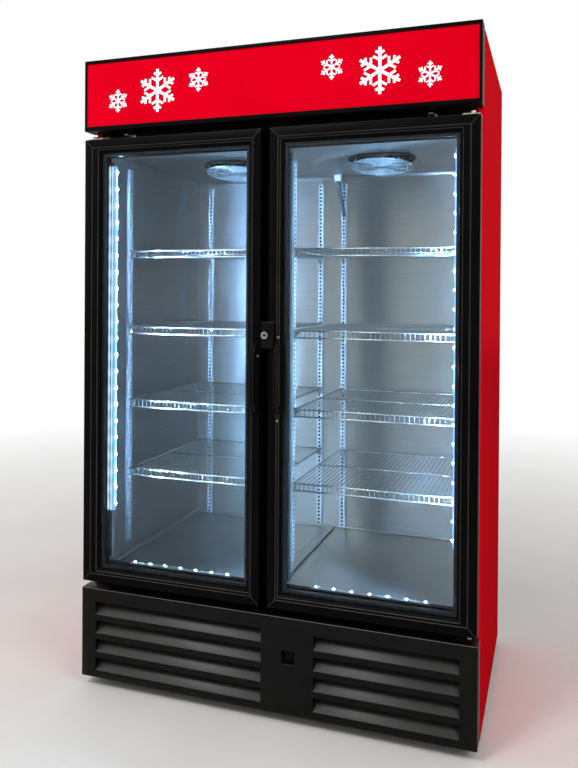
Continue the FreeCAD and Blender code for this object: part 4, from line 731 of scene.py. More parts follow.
# %% [markdown]
# ## Screws
# One pan-head screw is modelled and copied wherever sheet metal is held: a low cylinder, softly rounded,
# with a cross cut into its head.  It is small, so it has few faces.

# %% Screw
SCREW_RADIUS = 0.004
# In radii: how far a head rises, how far its cross reaches, how thick the cutter is, and the rounding.
SCREW_RISE, CROSS_REACH, CROSS_HALF, HEAD_ROUND = 0.45, 0.62, 0.14, 0.2
DOOR_SCREWS = {"right": ((0.045, 1.134), (0.042, 0.889)), "left": ((-0.019, 1.077),)}
DOOR_SCREW_RADIUS = 0.0034


def screw(name, place, facing, radius=SCREW_RADIUS, rise=SCREW_RISE):
    """A pan head with a cross slot, at a place on a surface that faces one way; rise is in radii."""
    facing = Vector(facing)
    tip = Vector(place) + facing * rise * radius
    head = soften(rod(name, place, tip, radius, 14), HEAD_ROUND * radius)
    aside = facing.orthogonal().normalized()
    for way in (aside, facing.cross(aside)):
        reach = way * CROSS_REACH * radius
        carve(head, rod("cross", tip - reach, tip + reach, CROSS_HALF * radius, 4))
    return head


def screws(name, body, slot, places, facing, radius=SCREW_RADIUS, rise=SCREW_RISE):
    """Screws in a row of places, joined into one piece."""
    first = screw(name, (0, 0, 0), facing, radius, rise)
    heads = [copy_of(first, name, place) for place in places]
    bpy.data.objects.remove(first)
    return dress(join(name, heads), body, slot)


for side_name, places in DOOR_SCREWS.items():
    screws(f"{side_name}_door_screws", f"{side_name}_door", "zinc_plated_steel",
           [(x, DOOR_FRONT, z) for x, z in places], FRONTWARD, DOOR_SCREW_RADIUS)

# %% [markdown]
# ## Back and top
# The back is a galvanised sheet with its rim pressed in by a millimetre, so that the heads of its screws
# don't stand out.  The rim is an inset of the block's rear face, and the field inside it is raised.  Rows
# of vents let the warm air of the machinery out.  The top sheet is held by screws along its edges.

# %% Back sheet
BACK_LOW, BACK_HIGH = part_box("back_panel")
RIM_WIDTH, RIM_SLOPE, RIM_DROP, RIM_MIDDLE = 0.013, 0.003, 0.0010, 0.0065
VENT_WIDTH, VENT_HEIGHT, VENT_BOTTOM, VENT_COUNT = 0.090, 0.008, 0.110, 6
VENT_STEP, VENT_PITCH = 0.150, 0.026
INLET, INLET_RADIUS = Vector((0.470, 0, 0.074)), 0.014
back = bar("back_sheet", BACK_LOW, (BACK_HIGH.x, BACK_HIGH.y - RIM_DROP, BACK_HIGH.z))
pick_faces(back, faces_back)
bpy.ops.mesh.inset(thickness=RIM_WIDTH)
bpy.ops.mesh.inset(thickness=RIM_SLOPE, depth=RIM_DROP)
close_edit()
first_vent = -VENT_STEP * (VENT_COUNT - 1) / 2 - VENT_WIDTH / 2
vents = bar("vents", (first_vent, BACK_LOW.y - OVERCUT, VENT_BOTTOM),
            (first_vent + VENT_WIDTH, BACK_HIGH.y + OVERCUT, VENT_BOTTOM + VENT_HEIGHT))
row(row(vents, VENT_COUNT, (VENT_STEP, 0, 0)), VENT_COUNT, (0, 0, VENT_PITCH))
inlet = axle("inlet", INLET, BACK_LOW.y - OVERCUT, BACK_HIGH.y + OVERCUT, INLET_RADIUS)
carve(back, vents, inlet)
back.data.materials.append(GALVANISED)
dress(back, "cabinet", "zinc_plated_steel", "back_panel")

# %% Screws of the back and the top
BACK_SCREW_RADIUS, BACK_SCREW_RISE, SHEET_STEP, BACK_FIRST, BACK_COUNT = 0.0045, 0.2, 0.30, 0.15, 7
TOP_LOW, TOP_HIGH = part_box("top_panel")
TOP_EDGE, TOP_FIRST, TOP_STEP, TOP_COUNT = 0.012, 0.06, 0.20, 4
across = [SHEET_STEP * (number - (TOP_COUNT - 1) / 2) for number in range(TOP_COUNT)]
rim_y = BACK_HIGH.y - RIM_DROP
rim_places = [(side * (BACK_HIGH.x - RIM_MIDDLE), rim_y, BACK_FIRST + SHEET_STEP * number)
              for side in SIDES.values() for number in range(BACK_COUNT)]
rim_places += [(x, rim_y, z) for x in across for z in (BACK_LOW.z + RIM_MIDDLE, BACK_HIGH.z - RIM_MIDDLE)]
screws("back_screws", "cabinet", "zinc_plated_steel", rim_places, BACKWARD, BACK_SCREW_RADIUS,
       BACK_SCREW_RISE)
top_places = [(side * (TOP_HIGH.x - TOP_EDGE), TOP_LOW.y + TOP_FIRST + TOP_STEP * number, TOP_HIGH.z)
              for side in SIDES.values() for number in range(TOP_COUNT)]
top_places += [(x, TOP_HIGH.y - TOP_EDGE, TOP_HIGH.z) for x in across]
screws("top_screws", "cabinet", "zinc_plated_steel", top_places, UPWARD)

# %% [markdown]
# ## Hinge brackets
# Above and below each door a zinc plate comes out of the cabinet and holds the pin on which the door
# turns.  The plate's front corners are rounded by a bevel on its upright edges, a foot with two screws
# holds it to the cabinet, and a bolt head closes the pin.  Above each door a small folded clip is left for
# the stay that can hold the door open.

# %% Hinge brackets
DOOR_LOW, DOOR_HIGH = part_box("right_door_frame")
HINGE = Vector((DOOR_HIGH.x - 0.022, DOOR_FRONT + 0.0225, 0))
PLATE, PLATE_GAP, PLATE_INSIDE, PLATE_OUTSIDE = 0.003, 0.0023, 0.032, 0.021
PLATE_NOSE, PLATE_CORNER, PLATE_FOOT, PLATE_FOOT_OUTSIDE = 0.011, 0.010, 0.014, 0.002
PIN_RADIUS, PIN_LENGTH, BOLT_RADIUS, BOLT_HEIGHT = 0.005, 0.024, 0.0075, 0.008
WASHER_RADIUS, WASHER, BRACKET_ROUND = 0.0100, 0.0015, 0.0006
BRACKET_SCREWS, BRACKET_SCREW_LEVEL, BRACKET_SCREW_RADIUS = (-0.024, -0.008), 0.008, 0.0035


def hinge_bracket(face, way):
    """The right-hand bracket beyond a door's end face; way is 1 above the door and -1 below it."""
    near, far = face + way * PLATE_GAP, face + way * (PLATE_GAP + PLATE)
    plate = bar("plate", (HINGE.x - PLATE_INSIDE, HINGE.y - PLATE_NOSE, min(near, far)),
                (HINGE.x + PLATE_OUTSIDE, CABINET_FRONT, max(near, far)))
    pick_edges(plate, lambda first, last: max(first.y, last.y) < HINGE.y and abs(first.z - last.z) > NEAR)
    bpy.ops.mesh.bevel(offset=PLATE_CORNER, segments=6)
    close_edit()
    foot_end = far + way * PLATE_FOOT
    foot = bar("foot", (HINGE.x - PLATE_INSIDE, CABINET_FRONT - PLATE, min(near, foot_end)),
               (HINGE.x + PLATE_FOOT_OUTSIDE, CABINET_FRONT, max(near, foot_end)))
    pieces = [plate, foot]
    for name, start, end, radius, sides in (
            ("pin", face - way * PIN_LENGTH, far, PIN_RADIUS, 20),
            ("bolt", far, far + way * BOLT_HEIGHT, BOLT_RADIUS, 6),
            ("washer", far, far + way * WASHER, WASHER_RADIUS, 24)):
        pieces.append(rod(name, (HINGE.x, HINGE.y, start), (HINGE.x, HINGE.y, end), radius, sides))
    heads = [screw("head", (HINGE.x + x, CABINET_FRONT - PLATE, far + way * BRACKET_SCREW_LEVEL), FRONTWARD,
                   BRACKET_SCREW_RADIUS) for x in BRACKET_SCREWS]
    return join("bracket", [soften(piece, BRACKET_ROUND) for piece in pieces] + heads)


# %% Stay clips
CLIP_X, CLIP_HALF, CLIP_LEVEL, CLIP_REACH, CLIP_SHEET, CLIP_FOOT = 0.480, 0.013, 1.757, 0.034, 0.002, 0.013
CLIP_TAPER, CLIP_LIP, CLIP_ROUND = 0.5, (0, -0.004, 0.005), 0.0005
CLIP_SCREW_LEVEL, CLIP_SCREW_RADIUS = 0.008, 0.003


def stay_clip():
    """A small folded clip above the right door: a tapered tongue, a foot and its screw."""
    tongue = bar("tongue", (CLIP_X - CLIP_HALF, CABINET_FRONT - CLIP_REACH, CLIP_LEVEL),
                 (CLIP_X + CLIP_HALF, CABINET_FRONT, CLIP_LEVEL + CLIP_SHEET))
    pick_faces(tongue, faces_front)
    bpy.ops.transform.resize(value=(CLIP_TAPER, 1, 1), center_override=(CLIP_X, 0, 0))
    push(CLIP_LIP)
    close_edit()
    foot = bar("foot", (CLIP_X - CLIP_HALF, CABINET_FRONT - CLIP_SHEET, CLIP_LEVEL),
               (CLIP_X + CLIP_HALF, CABINET_FRONT, CLIP_LEVEL + CLIP_FOOT))
    head = screw("head", (CLIP_X, CABINET_FRONT - CLIP_SHEET, CLIP_LEVEL + CLIP_SCREW_LEVEL), FRONTWARD,
                 CLIP_SCREW_RADIUS)
    return join("clip", [soften(tongue, CLIP_ROUND), soften(foot, CLIP_ROUND), head])


brackets = [hinge_bracket(DOOR_HIGH.z, 1), hinge_bracket(DOOR_LOW.z, -1), stay_clip()]
brackets += [copy_of(bracket, "bracket", mirror=-1) for bracket in brackets]
dress(join("hinge_plates", brackets), "cabinet", "zinc_plated_steel", "hinge_brackets")

# %% [markdown]
# ## Sign
# The lit sign is a shallow black box round a red acrylic panel.  Its frame is a block, hollowed from
# behind and opened at the front, so thin lips hold the panel.  White snow crystals stand on the panel:
# one arm is made from a long bar and four short ones, and six turned copies of it make a crystal.

# %% Sign frame
SIGN_LOW, SIGN_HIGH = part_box("sign_frame")
SIDE_LIP, TOP_LIP, BOTTOM_LIP, LIP_SHEET, SIGN_WALL, SIGN_ROUND = 0.008, 0.011, 0.014, 0.003, 0.004, 0.0008
sign = bar("sign_surround", SIGN_LOW, SIGN_HIGH)
hollow = bar("hollow", (SIGN_LOW.x + SIGN_WALL, SIGN_LOW.y + LIP_SHEET, SIGN_LOW.z + SIGN_WALL),
             (SIGN_HIGH.x - SIGN_WALL, SIGN_HIGH.y + OVERCUT, SIGN_HIGH.z - SIGN_WALL))
window = bar("window", (SIGN_LOW.x + SIDE_LIP, SIGN_LOW.y - OVERCUT, SIGN_LOW.z + BOTTOM_LIP),
             (SIGN_HIGH.x - SIDE_LIP, SIGN_HIGH.y, SIGN_HIGH.z - TOP_LIP))
dress(soften(carve(sign, hollow, window), SIGN_ROUND), "cabinet", "black_paint", "sign_frame")

# %% Snow crystals
CRYSTAL_SHEET, ARM_WIDTH, TWIG_WIDTH = 0.0008, 0.13, 0.8
# Where each pair of twigs leaves its arm and how long it is, as shares of the arm.
TWIGS = ((0.45, 0.34), (0.72, 0.22))
# The reach of each crystal and its place, from the middle of the sign.
CRYSTALS = ((0.066, -0.36, 0.0), (0.036, -0.50, -0.022), (0.036, -0.22, 0.022),
            (0.066, 0.34, 0.0), (0.036, 0.20, 0.022), (0.036, 0.48, -0.022))


def crystal_arm(reach):
    """One arm along Y with two pairs of short twigs, flat on Z = 0."""
    half = ARM_WIDTH * reach / 2
    arm = bar("arm", (-half, 0, 0), (half, reach, CRYSTAL_SHEET))
    for place, length in TWIGS:
        for way in (-1, 1):
            twig = bar("twig", (-TWIG_WIDTH * half, 0, 0), (TWIG_WIDTH * half, length * reach, CRYSTAL_SHEET))
            twig.rotation_euler.z = way * math.pi / 3
            twig.location.y = place * reach
            choose(twig)
            add_shape(arm, settle("twig"))
    return arm


def crystal(reach, x, lift):
    """Six arms on the face of the sign panel."""
    first = crystal_arm(reach)
    whole = copy_of(first, "crystal")
    for number in range(1, 6):
        add_shape(whole, copy_of(first, "arm", turn=number * math.pi / 3))
    bpy.data.objects.remove(first)
    whole.rotation_euler.x = math.pi / 2
    whole.location = (x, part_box("sign_panel")[0].y, (SIGN_LOW.z + SIGN_HIGH.z) / 2 + lift)
    choose(whole)
    return settle("crystal")


crystals = join("sign_crystals", [crystal(reach, x, lift) for reach, x, lift in CRYSTALS])
crystals.data.materials.append(lit("white_acrylic", "F2F4F8", "FFFFFF", 0.55))
dress(crystals, "cabinet", "white_plastic")

# %% [markdown]
# ## Lower grille
# The grille is one folded black panel.  Its louvres are pushed out of slots: each blade starts at the
# lower edge of its slot and rises to the back, so its upper face catches the light.  One blade is shaped
# from a flat bar by lifting its back edge, and a row of copies fills each group.  Behind a square hole
# sits the case of the thermostat with its small fluted knob.

# %% Grille
GRILLE_LOW, GRILLE_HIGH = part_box("lower_grille")
GRILLE_SHEET, LOUVRE_HEIGHT, LOUVRE_PITCH, LOUVRE_TOP, LOUVRE_COUNT = 0.002, 0.040, 0.0593, 0.042, 4
LOUVRE_DEPTH, LOUVRE_RISE, LOUVRE_ROUND, PAN_ROUND = 0.028, 0.033, 0.0006, 0.0018
LOUVRE_SPANS = ((-0.569, -0.005), (0.157, 0.572))
CONTROL_X, CONTROL_Z, CONTROL_HALF = 0.080, 0.199, 0.020
GRILLE_SCREWS, GRILLE_SCREW_LEVEL, GRILLE_SCREW_RADIUS = (-0.598, -0.10, 0.10, 0.598), 0.012, 0.0035
# The slanting faces of the top line get a painted highlight in bare grey, and below the top band the faces
# that lean up and to the front, the blades' upper faces, are painted lighter as lit from above.
TOP_LINE, TOP_BAND, SQUARE_ON = 0.002, 0.004, 0.99
LOUVRE_HIGH = GRILLE_HIGH.z - LOUVRE_TOP
LOUVRE_LOW = LOUVRE_HIGH - LOUVRE_HEIGHT
LOUVRE_BACK = DOOR_FRONT + LOUVRE_DEPTH


def lift_back(piece):
    """Lift the back points of a piece that lie no higher than the lower edge of the slot."""
    pick_points(piece, lambda place: (
        place.y > DOOR_FRONT + LOUVRE_DEPTH / 2 and place.z < LOUVRE_LOW + NEAR))
    bpy.ops.transform.translate(value=(0, 0, LOUVRE_RISE))
    close_edit()
    return piece


def louvre_group(start, end):
    """A row of blades with their cheeks, between two places across the panel."""
    blade = bar("blade", (start, DOOR_FRONT, LOUVRE_LOW - GRILLE_SHEET), (end, LOUVRE_BACK, LOUVRE_LOW))
    pieces = [lift_back(blade)]
    for left, right in ((start - GRILLE_SHEET, start), (end, end + GRILLE_SHEET)):
        cheek = bar("cheek", (left, DOOR_FRONT + GRILLE_SHEET, LOUVRE_LOW), (right, LOUVRE_BACK, LOUVRE_HIGH))
        pieces.append(lift_back(cheek))
    return row(soften(join("louvres", pieces), LOUVRE_ROUND), LOUVRE_COUNT, (0, 0, -LOUVRE_PITCH))


pan = bar("grille_panel", GRILLE_LOW, (GRILLE_HIGH.x, CABINET_FRONT, GRILLE_HIGH.z))
hollow = bar("hollow", (GRILLE_LOW.x + GRILLE_SHEET, DOOR_FRONT + GRILLE_SHEET, GRILLE_LOW.z + GRILLE_SHEET),
             (GRILLE_HIGH.x - GRILLE_SHEET, CABINET_FRONT + OVERCUT, GRILLE_HIGH.z - GRILLE_SHEET))
openings = [bar("control", (CONTROL_X - CONTROL_HALF, DOOR_FRONT - OVERCUT, CONTROL_Z - CONTROL_HALF),
                (CONTROL_X + CONTROL_HALF, DOOR_FRONT + OVERCUT, CONTROL_Z + CONTROL_HALF))]
for start, end in LOUVRE_SPANS:
    slot = bar("slot", (start, DOOR_FRONT - OVERCUT, LOUVRE_LOW), (end, DOOR_FRONT + OVERCUT, LOUVRE_HIGH))
    openings.append(row(slot, LOUVRE_COUNT, (0, 0, -LOUVRE_PITCH)))
louvres = [louvre_group(start, end) for start, end in LOUVRE_SPANS]
carve(pan, hollow, join("openings", openings))
grille = join("grille_with_louvres", [soften(pan, PAN_ROUND)] + louvres)
grille.data.materials.append(black_coat("black_powder_coat", "090808", "0D0C0B", 0.10))
# The top edge gets a painted highlight.
refinish(grille, PAINTED_BRIGHT_HIGHLIGHT, lambda centre, normal: (
    centre.z > GRILLE_HIGH.z - TOP_LINE and LEAN < -normal.y < SQUARE_ON))
# The upper faces of the blades are painted lighter, as lit from above.
refinish(grille, black_coat("painted_lit_blade_coat", "1B1A19", "242221", 0.34), lambda centre, normal: (
    normal.z > LEAN and normal.y < -LEAN and centre.z < GRILLE_HIGH.z - TOP_BAND))
dress(grille, "cabinet", "black_paint", "lower_grille")
screws("grille_screws", "cabinet", "black_enamel",
       [(x, DOOR_FRONT, GRILLE_LOW.z + GRILLE_SCREW_LEVEL) for x in GRILLE_SCREWS], FRONTWARD,
       GRILLE_SCREW_RADIUS)

# %% Control
BODY_LOW, BODY_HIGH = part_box("thermostat_body")
DIAL_LOW, DIAL_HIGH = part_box("thermostat_dial")
DIAL = (DIAL_LOW + DIAL_HIGH) / 2
WELL_DEPTH, WELL_ROUND, KNOB_RADIUS, KNOB_DEPTH = 0.022, 0.0008, 0.0128, 0.009
FLUTE_RIM, FLUTE_DROP = 0.0005, 0.0006
POINTER_HALF, POINTER_START, POINTER_END, POINTER_DEPTH = 0.0010, 0.003, 0.011, 0.0015
control = bar("thermostat_case", BODY_LOW, BODY_HIGH)
pick_faces(control, faces_front)
bpy.ops.mesh.inset(thickness=(BODY_HIGH.x - BODY_LOW.x) / 2 - CONTROL_HALF)
push((0, WELL_DEPTH, 0))
close_edit()
control.data.materials.append(MATERIALS["black_plastic"])
dress(soften(control, WELL_ROUND), "cabinet", "grey_plastic", "thermostat_body")

knob = axle("thermostat_knob", DIAL, DIAL_LOW.y, DIAL_LOW.y + KNOB_DEPTH, KNOB_RADIUS, 32)
pick_faces(knob, lambda centre, normal: abs(normal.y) < LEAN)
bpy.ops.mesh.inset(thickness=FLUTE_RIM, depth=-FLUTE_DROP, use_individual=True)
close_edit()
pointer = bar("pointer", (DIAL.x - POINTER_HALF, DIAL_LOW.y - OVERCUT, DIAL.z + POINTER_START),
              (DIAL.x + POINTER_HALF, DIAL_LOW.y + POINTER_DEPTH, DIAL.z + POINTER_END))
dress(carve(knob, pointer), "dial", "black_plastic", "thermostat_dial")

# %% [markdown]
# ## Pilasters
# Slotted zinc channels stand at the walls and take the shelf clips.  One pitch of the channel is shaped
# from a block: the slot is an inset, narrowed and pushed in.  Repeating that cell along the whole height
# and merging the seams gives the channel.  The bottoms of the slots are painted near black as shade.
# The front edges of the wall channels are painted darker as shade, so the rows of slots stand out.

# %% Pilasters
PILASTER_HALF, PILASTER_DEPTH, PILASTER_TOP, SLOT_PITCH = 0.010, 0.012, 1.680, 0.014
SLOT_RIM, SLOT_NARROW, SLOT_DEPTH, SLOT_HALF, SEAM = 0.0034, 0.55, 0.008, 0.006, 0.00001
FRONT_LENGTH, REAR_LENGTH, FRONT_PILASTER_DEPTH = 1.264, 1.308, 0.1873
WEB_HALF, REAR_OUT, REAR_IN = 0.020, 0.510, 0.046
PALE_ZINC = plated_metal("pale_zinc", "AEB3B6", "BEC2C5", 0.4, 30.0, 0.35)
PAINTED_SHADE_ZINC = plated_metal("painted_shade_zinc", "5C6164", "6C7174", 0.4, 30.0, 0.35)


def pilaster(name, length):
    """A channel that faces -Y and stands on Z = 0, in whole pitches."""
    count = round(length / SLOT_PITCH)
    pitch = length / count
    cell = bar(name, (-PILASTER_HALF, 0, 0), (PILASTER_HALF, PILASTER_DEPTH, pitch))
    pick_faces(cell, faces_front)
    bpy.ops.mesh.inset(thickness=SLOT_RIM)
    bpy.ops.transform.resize(value=(SLOT_NARROW, 1, 1), center_override=(0, 0, 0))
    push((0, SLOT_DEPTH, 0))
    close_edit()
    cell.data.materials.append(PALE_ZINC)
    # The bottoms of the slots are painted near black as shade.
    refinish(cell, PAINTED_SLOT_SHADE, lambda centre, normal: (
        centre.y > NEAR and abs(centre.x) < SLOT_HALF and 2 * NEAR < centre.z < pitch - 2 * NEAR))
    pick_faces(cell, lambda centre, normal: abs(normal.z) > MOSTLY and not NEAR < centre.z < pitch - NEAR)
    bpy.ops.mesh.delete(type="FACE")
    close_edit()
    row(cell, count, (0, 0, pitch), use_merge_vertices=True, merge_threshold=SEAM)
    pick_points(cell, lambda place: True)
    bpy.ops.mesh.fill_holes(sides=4)
    turn_outward()
    return cell


front_strip = pilaster("front_strip", FRONT_LENGTH)
rear_strip = pilaster("rear_strip", REAR_LENGTH)
front_y, rear_y = DOOR_FRONT + FRONT_PILASTER_DEPTH, INNER_BACK - PILASTER_DEPTH
front_z, rear_z = PILASTER_TOP - FRONT_LENGTH, PILASTER_TOP - REAR_LENGTH
stands = []
for side in SIDES.values():
    wall_x, web_x = side * (INNER_HALF - PILASTER_DEPTH), side * (WEB_HALF + PILASTER_DEPTH)
    stands.append(copy_of(front_strip, "wall", (wall_x, front_y, front_z), side * -math.pi / 2))
    stands.append(copy_of(front_strip, "web", (web_x, front_y, front_z), side * math.pi / 2))
    stands += [copy_of(rear_strip, "rear", (side * x, rear_y, rear_z)) for x in (REAR_OUT, REAR_IN)]
for strip in (front_strip, rear_strip):
    bpy.data.objects.remove(strip)
pilasters = join("pilaster_channels", stands)
# The front faces of the wall channels are painted darker as shade.
refinish(pilasters, PAINTED_SHADE_ZINC, lambda centre, normal: (
    faces_front(centre, normal) and centre.y < 0 and abs(centre.x) > REAR_OUT))
dress(pilasters, "cabinet", "bright_wire", "shelf_pilasters")

# %% [markdown]
# ## Wire shelves
# Each shelf is a welded grid: thin wires run from back to front and bend down at the front, where a second
# rod below makes a stiff truss.  One wire is a thin cylinder whose end is spun through a quarter circle
# and drawn down; an array lays the row of wires, and plain rods carry them.  The other shelves are copies.

# %% Shelves
SHELF_LOW, SHELF_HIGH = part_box("left_shelf_a")
WIRE, SHELF_ROD, WIRE_BEND, WIRE_COUNT, WIRE_MARGIN = 0.0015, 0.0026, 0.004, 35, 0.006
WELD, SIDE_ROD_DROP, ROD_ROUND = 0.0006, 0.0002, 0.0006


def bent_wire(x):
    """One wire from the back to the front, with its front end bent down to the lower rod."""
    high = SHELF_HIGH.z - WIRE
    bend_y = SHELF_LOW.y + WIRE + WIRE_BEND
    wire = rod("wire", (x, bend_y, high), (x, SHELF_HIGH.y, high), WIRE, 8)
    pick_faces(wire, faces_front)
    bpy.ops.mesh.spin(steps=4, angle=math.pi / 2, center=(x, bend_y, high - WIRE_BEND), axis=(1, 0, 0))
    push((0, 0, SHELF_LOW.z - high + WIRE_BEND + SHELF_ROD))
    close_edit()
    return wire


def wire_shelf():
    """Wires over cross rods, with side rods and the lower rod of the truss."""
    step = (SHELF_HIGH.x - SHELF_LOW.x - 2 * WIRE_MARGIN) / (WIRE_COUNT - 1)
    wires = row(bent_wire(SHELF_LOW.x + WIRE_MARGIN), WIRE_COUNT, (step, 0, 0))
    level = SHELF_HIGH.z - 2 * WIRE - SHELF_ROD + WELD
    front, back = SHELF_LOW.y + 2 * WIRE + SHELF_ROD, SHELF_HIGH.y - SHELF_ROD
    spans = [((SHELF_LOW.x, y, z), (SHELF_HIGH.x, y, z)) for y, z in (
        (front, level), (front, SHELF_LOW.z + SHELF_ROD), ((front + back) / 2, level), (back, level))]
    spans += [((x, front, level - SIDE_ROD_DROP), (x, back, level - SIDE_ROD_DROP))
              for x in (SHELF_LOW.x + SHELF_ROD, SHELF_HIGH.x - SHELF_ROD)]
    rods = [soften(rod("rod", start, end, SHELF_ROD, 12), ROD_ROUND) for start, end in spans]
    return join("shelf_pattern", [wires] + rods)


first_shelf = wire_shelf()
for side_name in SIDES:
    for level in "abcd":
        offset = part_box(f"{side_name}_shelf_{level}")[0] - SHELF_LOW
        shelf = copy_of(first_shelf, f"{side_name}_wire_shelf_{level}", offset)
        dress(shelf, "cabinet", "bright_wire", f"{side_name}_shelf_{level}")
bpy.data.objects.remove(first_shelf)

# %% [markdown]
# ## Light strips and mullion
# Cold white diodes stand in aluminium channels along both jambs and on the sills; the channels behind the
# mullion are bare.  A jamb strip is an aluminium bar, a glowing cover with a row of domed diodes and a
# ribbed lens that faces the door.  The diodes are real lights that throw most of their light inwards, so
# the glow on the steel comes by itself.  A black strip covers the mullion where the doors meet.

# %% Light strips
STRIP_LOW, STRIP_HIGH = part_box("led_strips")
STRIP_FRONT, STRIP_BACK, STRIP_BOTTOM, STRIP_TOP = STRIP_LOW.y, STRIP_LOW.y + 0.016, 0.400, STRIP_HIGH.z
JAMB_INNER, MULLION_HALF, STRIP_WIDTH, STRIP_ROUND = INNER_HALF - 0.027, 0.042, 0.018, 0.0012
COVER, COVER_MARGIN, COVER_END, LENS, LENS_MARGIN = 0.006, 0.002, 0.02, 0.003, 0.001
RIB, FIRST_RIB = 0.010, 0.0062
DIODE_RADIUS, SILL_RADIUS, DIODE_FLATNESS = 0.0042, 0.0032, 0.6
DIODE_PITCH, FIRST_DIODE, DIODE_COUNT = 0.054, 0.572, 21
SILL_LOW, SILL_HIGH, SILL_LENGTH, SILL_COUNT = 0.384, 0.390, 0.350, 7
# The faces of a diode whose normal is above this along Y throw its light into the cooler.
INWARD = -0.15
LIT_COVER = lit("lit_cover", "6EA8E0", "86B8E8", 0.8)
RIBBED_LENS = ribbed_lens(RIB, DIODE_PITCH, FIRST_RIB - INNER_HALF)
JAMB_LIGHT = lit("jamb_light", "98CAFF", "A2D0FF", 10000.0)
SILL_LIGHT = lit("sill_light", "98CAFF", "A2D0FF", 1500.0)
CHANNEL_ALUMINIUM = plated_metal("channel_aluminium", "A4A7AA", "BFC2C4", 0.4, 30.0)
DULL_ALUMINIUM = plated_metal("dull_aluminium", "66696C", "787B7E", 0.45, 30.0)


def diode(place, flat_axis, radius):
    """A low dome: a ball pressed flat along one axis."""
    bpy.ops.object.select_all(action="DESELECT")
    bpy.ops.mesh.primitive_uv_sphere_add(segments=12, ring_count=8, radius=radius, location=place)
    bpy.context.object.scale[flat_axis] = DIODE_FLATNESS
    return settle("diode")


def both_sides(name, halves, finish, rounding=0.0):
    """Join the pieces of the right half, round them, give them a finish and add their mirror image."""
    right = join(name, halves)
    if rounding:
        soften(right, rounding)
    right.data.materials.append(finish)
    return join(name, [right, copy_of(right, name, mirror=-1)])


strip_y = (STRIP_FRONT + STRIP_BACK) / 2
lit_low, lit_high = FIRST_DIODE - COVER_END, FIRST_DIODE + (DIODE_COUNT - 1) * DIODE_PITCH + COVER_END
sill_start = (INNER_HALF + MULLION_HALF - SILL_LENGTH) / 2
sill_margin = (SILL_LENGTH - (SILL_COUNT - 1) * DIODE_PITCH) / 2
channels = both_sides("light_channels", [
    bar("jamb_channel", (JAMB_INNER + COVER, STRIP_FRONT + LENS, STRIP_BOTTOM),
        (INNER_HALF, STRIP_BACK, STRIP_TOP)),
    bar("mullion_channel", (MULLION_HALF, STRIP_FRONT, STRIP_BOTTOM),
        (MULLION_HALF + STRIP_WIDTH, STRIP_BACK, STRIP_TOP)),
    bar("sill_channel", (sill_start, STRIP_FRONT, SILL_LOW),
        (sill_start + SILL_LENGTH, STRIP_BACK, SILL_HIGH))], CHANNEL_ALUMINIUM, STRIP_ROUND)
refinish(channels, DULL_ALUMINIUM, lambda centre, normal: (
    abs(centre.x) < 2 * MULLION_HALF and centre.z > SILL_HIGH + NEAR))
dress(channels, "cabinet", "fin_aluminium", "led_strips")

covers = both_sides("light_covers", [
    bar("jamb_cover", (JAMB_INNER, STRIP_FRONT + COVER_MARGIN, lit_low),
        (JAMB_INNER + COVER, STRIP_BACK - COVER_MARGIN, lit_high)),
    bar("jamb_lens", (JAMB_INNER + COVER, STRIP_FRONT, lit_low),
        (INNER_HALF - LENS_MARGIN, STRIP_FRONT + LENS, lit_high))], LIT_COVER, STRIP_ROUND)
refinish(covers, RIBBED_LENS, lambda centre, normal: abs(centre.x) > JAMB_INNER + COVER + NEAR / 2)
dress(covers, "cabinet", "light_white", "led_strips")

jamb_diode = diode((JAMB_INNER, strip_y, FIRST_DIODE), 0, DIODE_RADIUS)
sill_diode = diode((sill_start + sill_margin, strip_y, SILL_HIGH), 2, SILL_RADIUS)
diodes = both_sides("light_diodes", [
    row(jamb_diode, DIODE_COUNT, (0, 0, DIODE_PITCH)),
    row(sill_diode, SILL_COUNT, (DIODE_PITCH, 0, 0))], MATERIALS["light_white"])
refinish(diodes, JAMB_LIGHT, lambda centre, normal: normal.y > INWARD)
refinish(diodes, SILL_LIGHT, lambda centre, normal: normal.y > INWARD and centre.z < STRIP_BOTTOM)
dress(diodes, "cabinet", "light_white", "led_strips")

# %% Mullion strip
MULLION_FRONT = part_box("center_mullion")[0].y
STRIP_CLEARANCE, STRIP_SHEET, STRIP_EDGE = 0.004, 0.001, 0.0004
strip_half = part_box("right_door_gasket")[0].x - STRIP_CLEARANCE
mullion_strip = bar("mullion_strip", (-strip_half, MULLION_FRONT - STRIP_SHEET, DOOR_LOW.z),
                    (strip_half, MULLION_FRONT, DOOR_HIGH.z))
dress(soften(mullion_strip, STRIP_EDGE), "cabinet", "black_paint")

# %% [markdown]
# ## Ceiling
# A steel cover hides the cooling coil, and a fan blows down through each of its two round holes.  A wire
# guard hangs below each hole: rings welded to spokes, held off the ceiling by posts and tilted a little to
# the back.  The rings are tori, one per step of the radius.  A drain cup with a tube stands at the back.

# %% Fan guards
FAN_X, FAN_DEPTH, GUARD_LEVEL, CEILING = 0.262, 0.395, 1.6955, 1.712
FAN_Y = DOOR_FRONT + FAN_DEPTH
GUARD_WIRE, FIRST_RING, RING_STEP, RING_COUNT, SPOKE_COUNT, SPOKE_RADIUS = 0.0017, 0.025, 0.0125, 7, 5, 0.0015
GUARD_REACH, GUARD_TILT = FIRST_RING + RING_STEP * (RING_COUNT - 1), 0.12
HUB_RADIUS, HUB_BELOW, HUB_ABOVE, HUB_ROUND = 0.008, 0.001, 0.004, 0.001
POST_REACH, POST_RADIUS, POST_COUNT = 0.100, 0.002, 4
RIM_RADIUS, RIM_WIRE, RIM_BELOW = 0.108, 0.004, 0.003


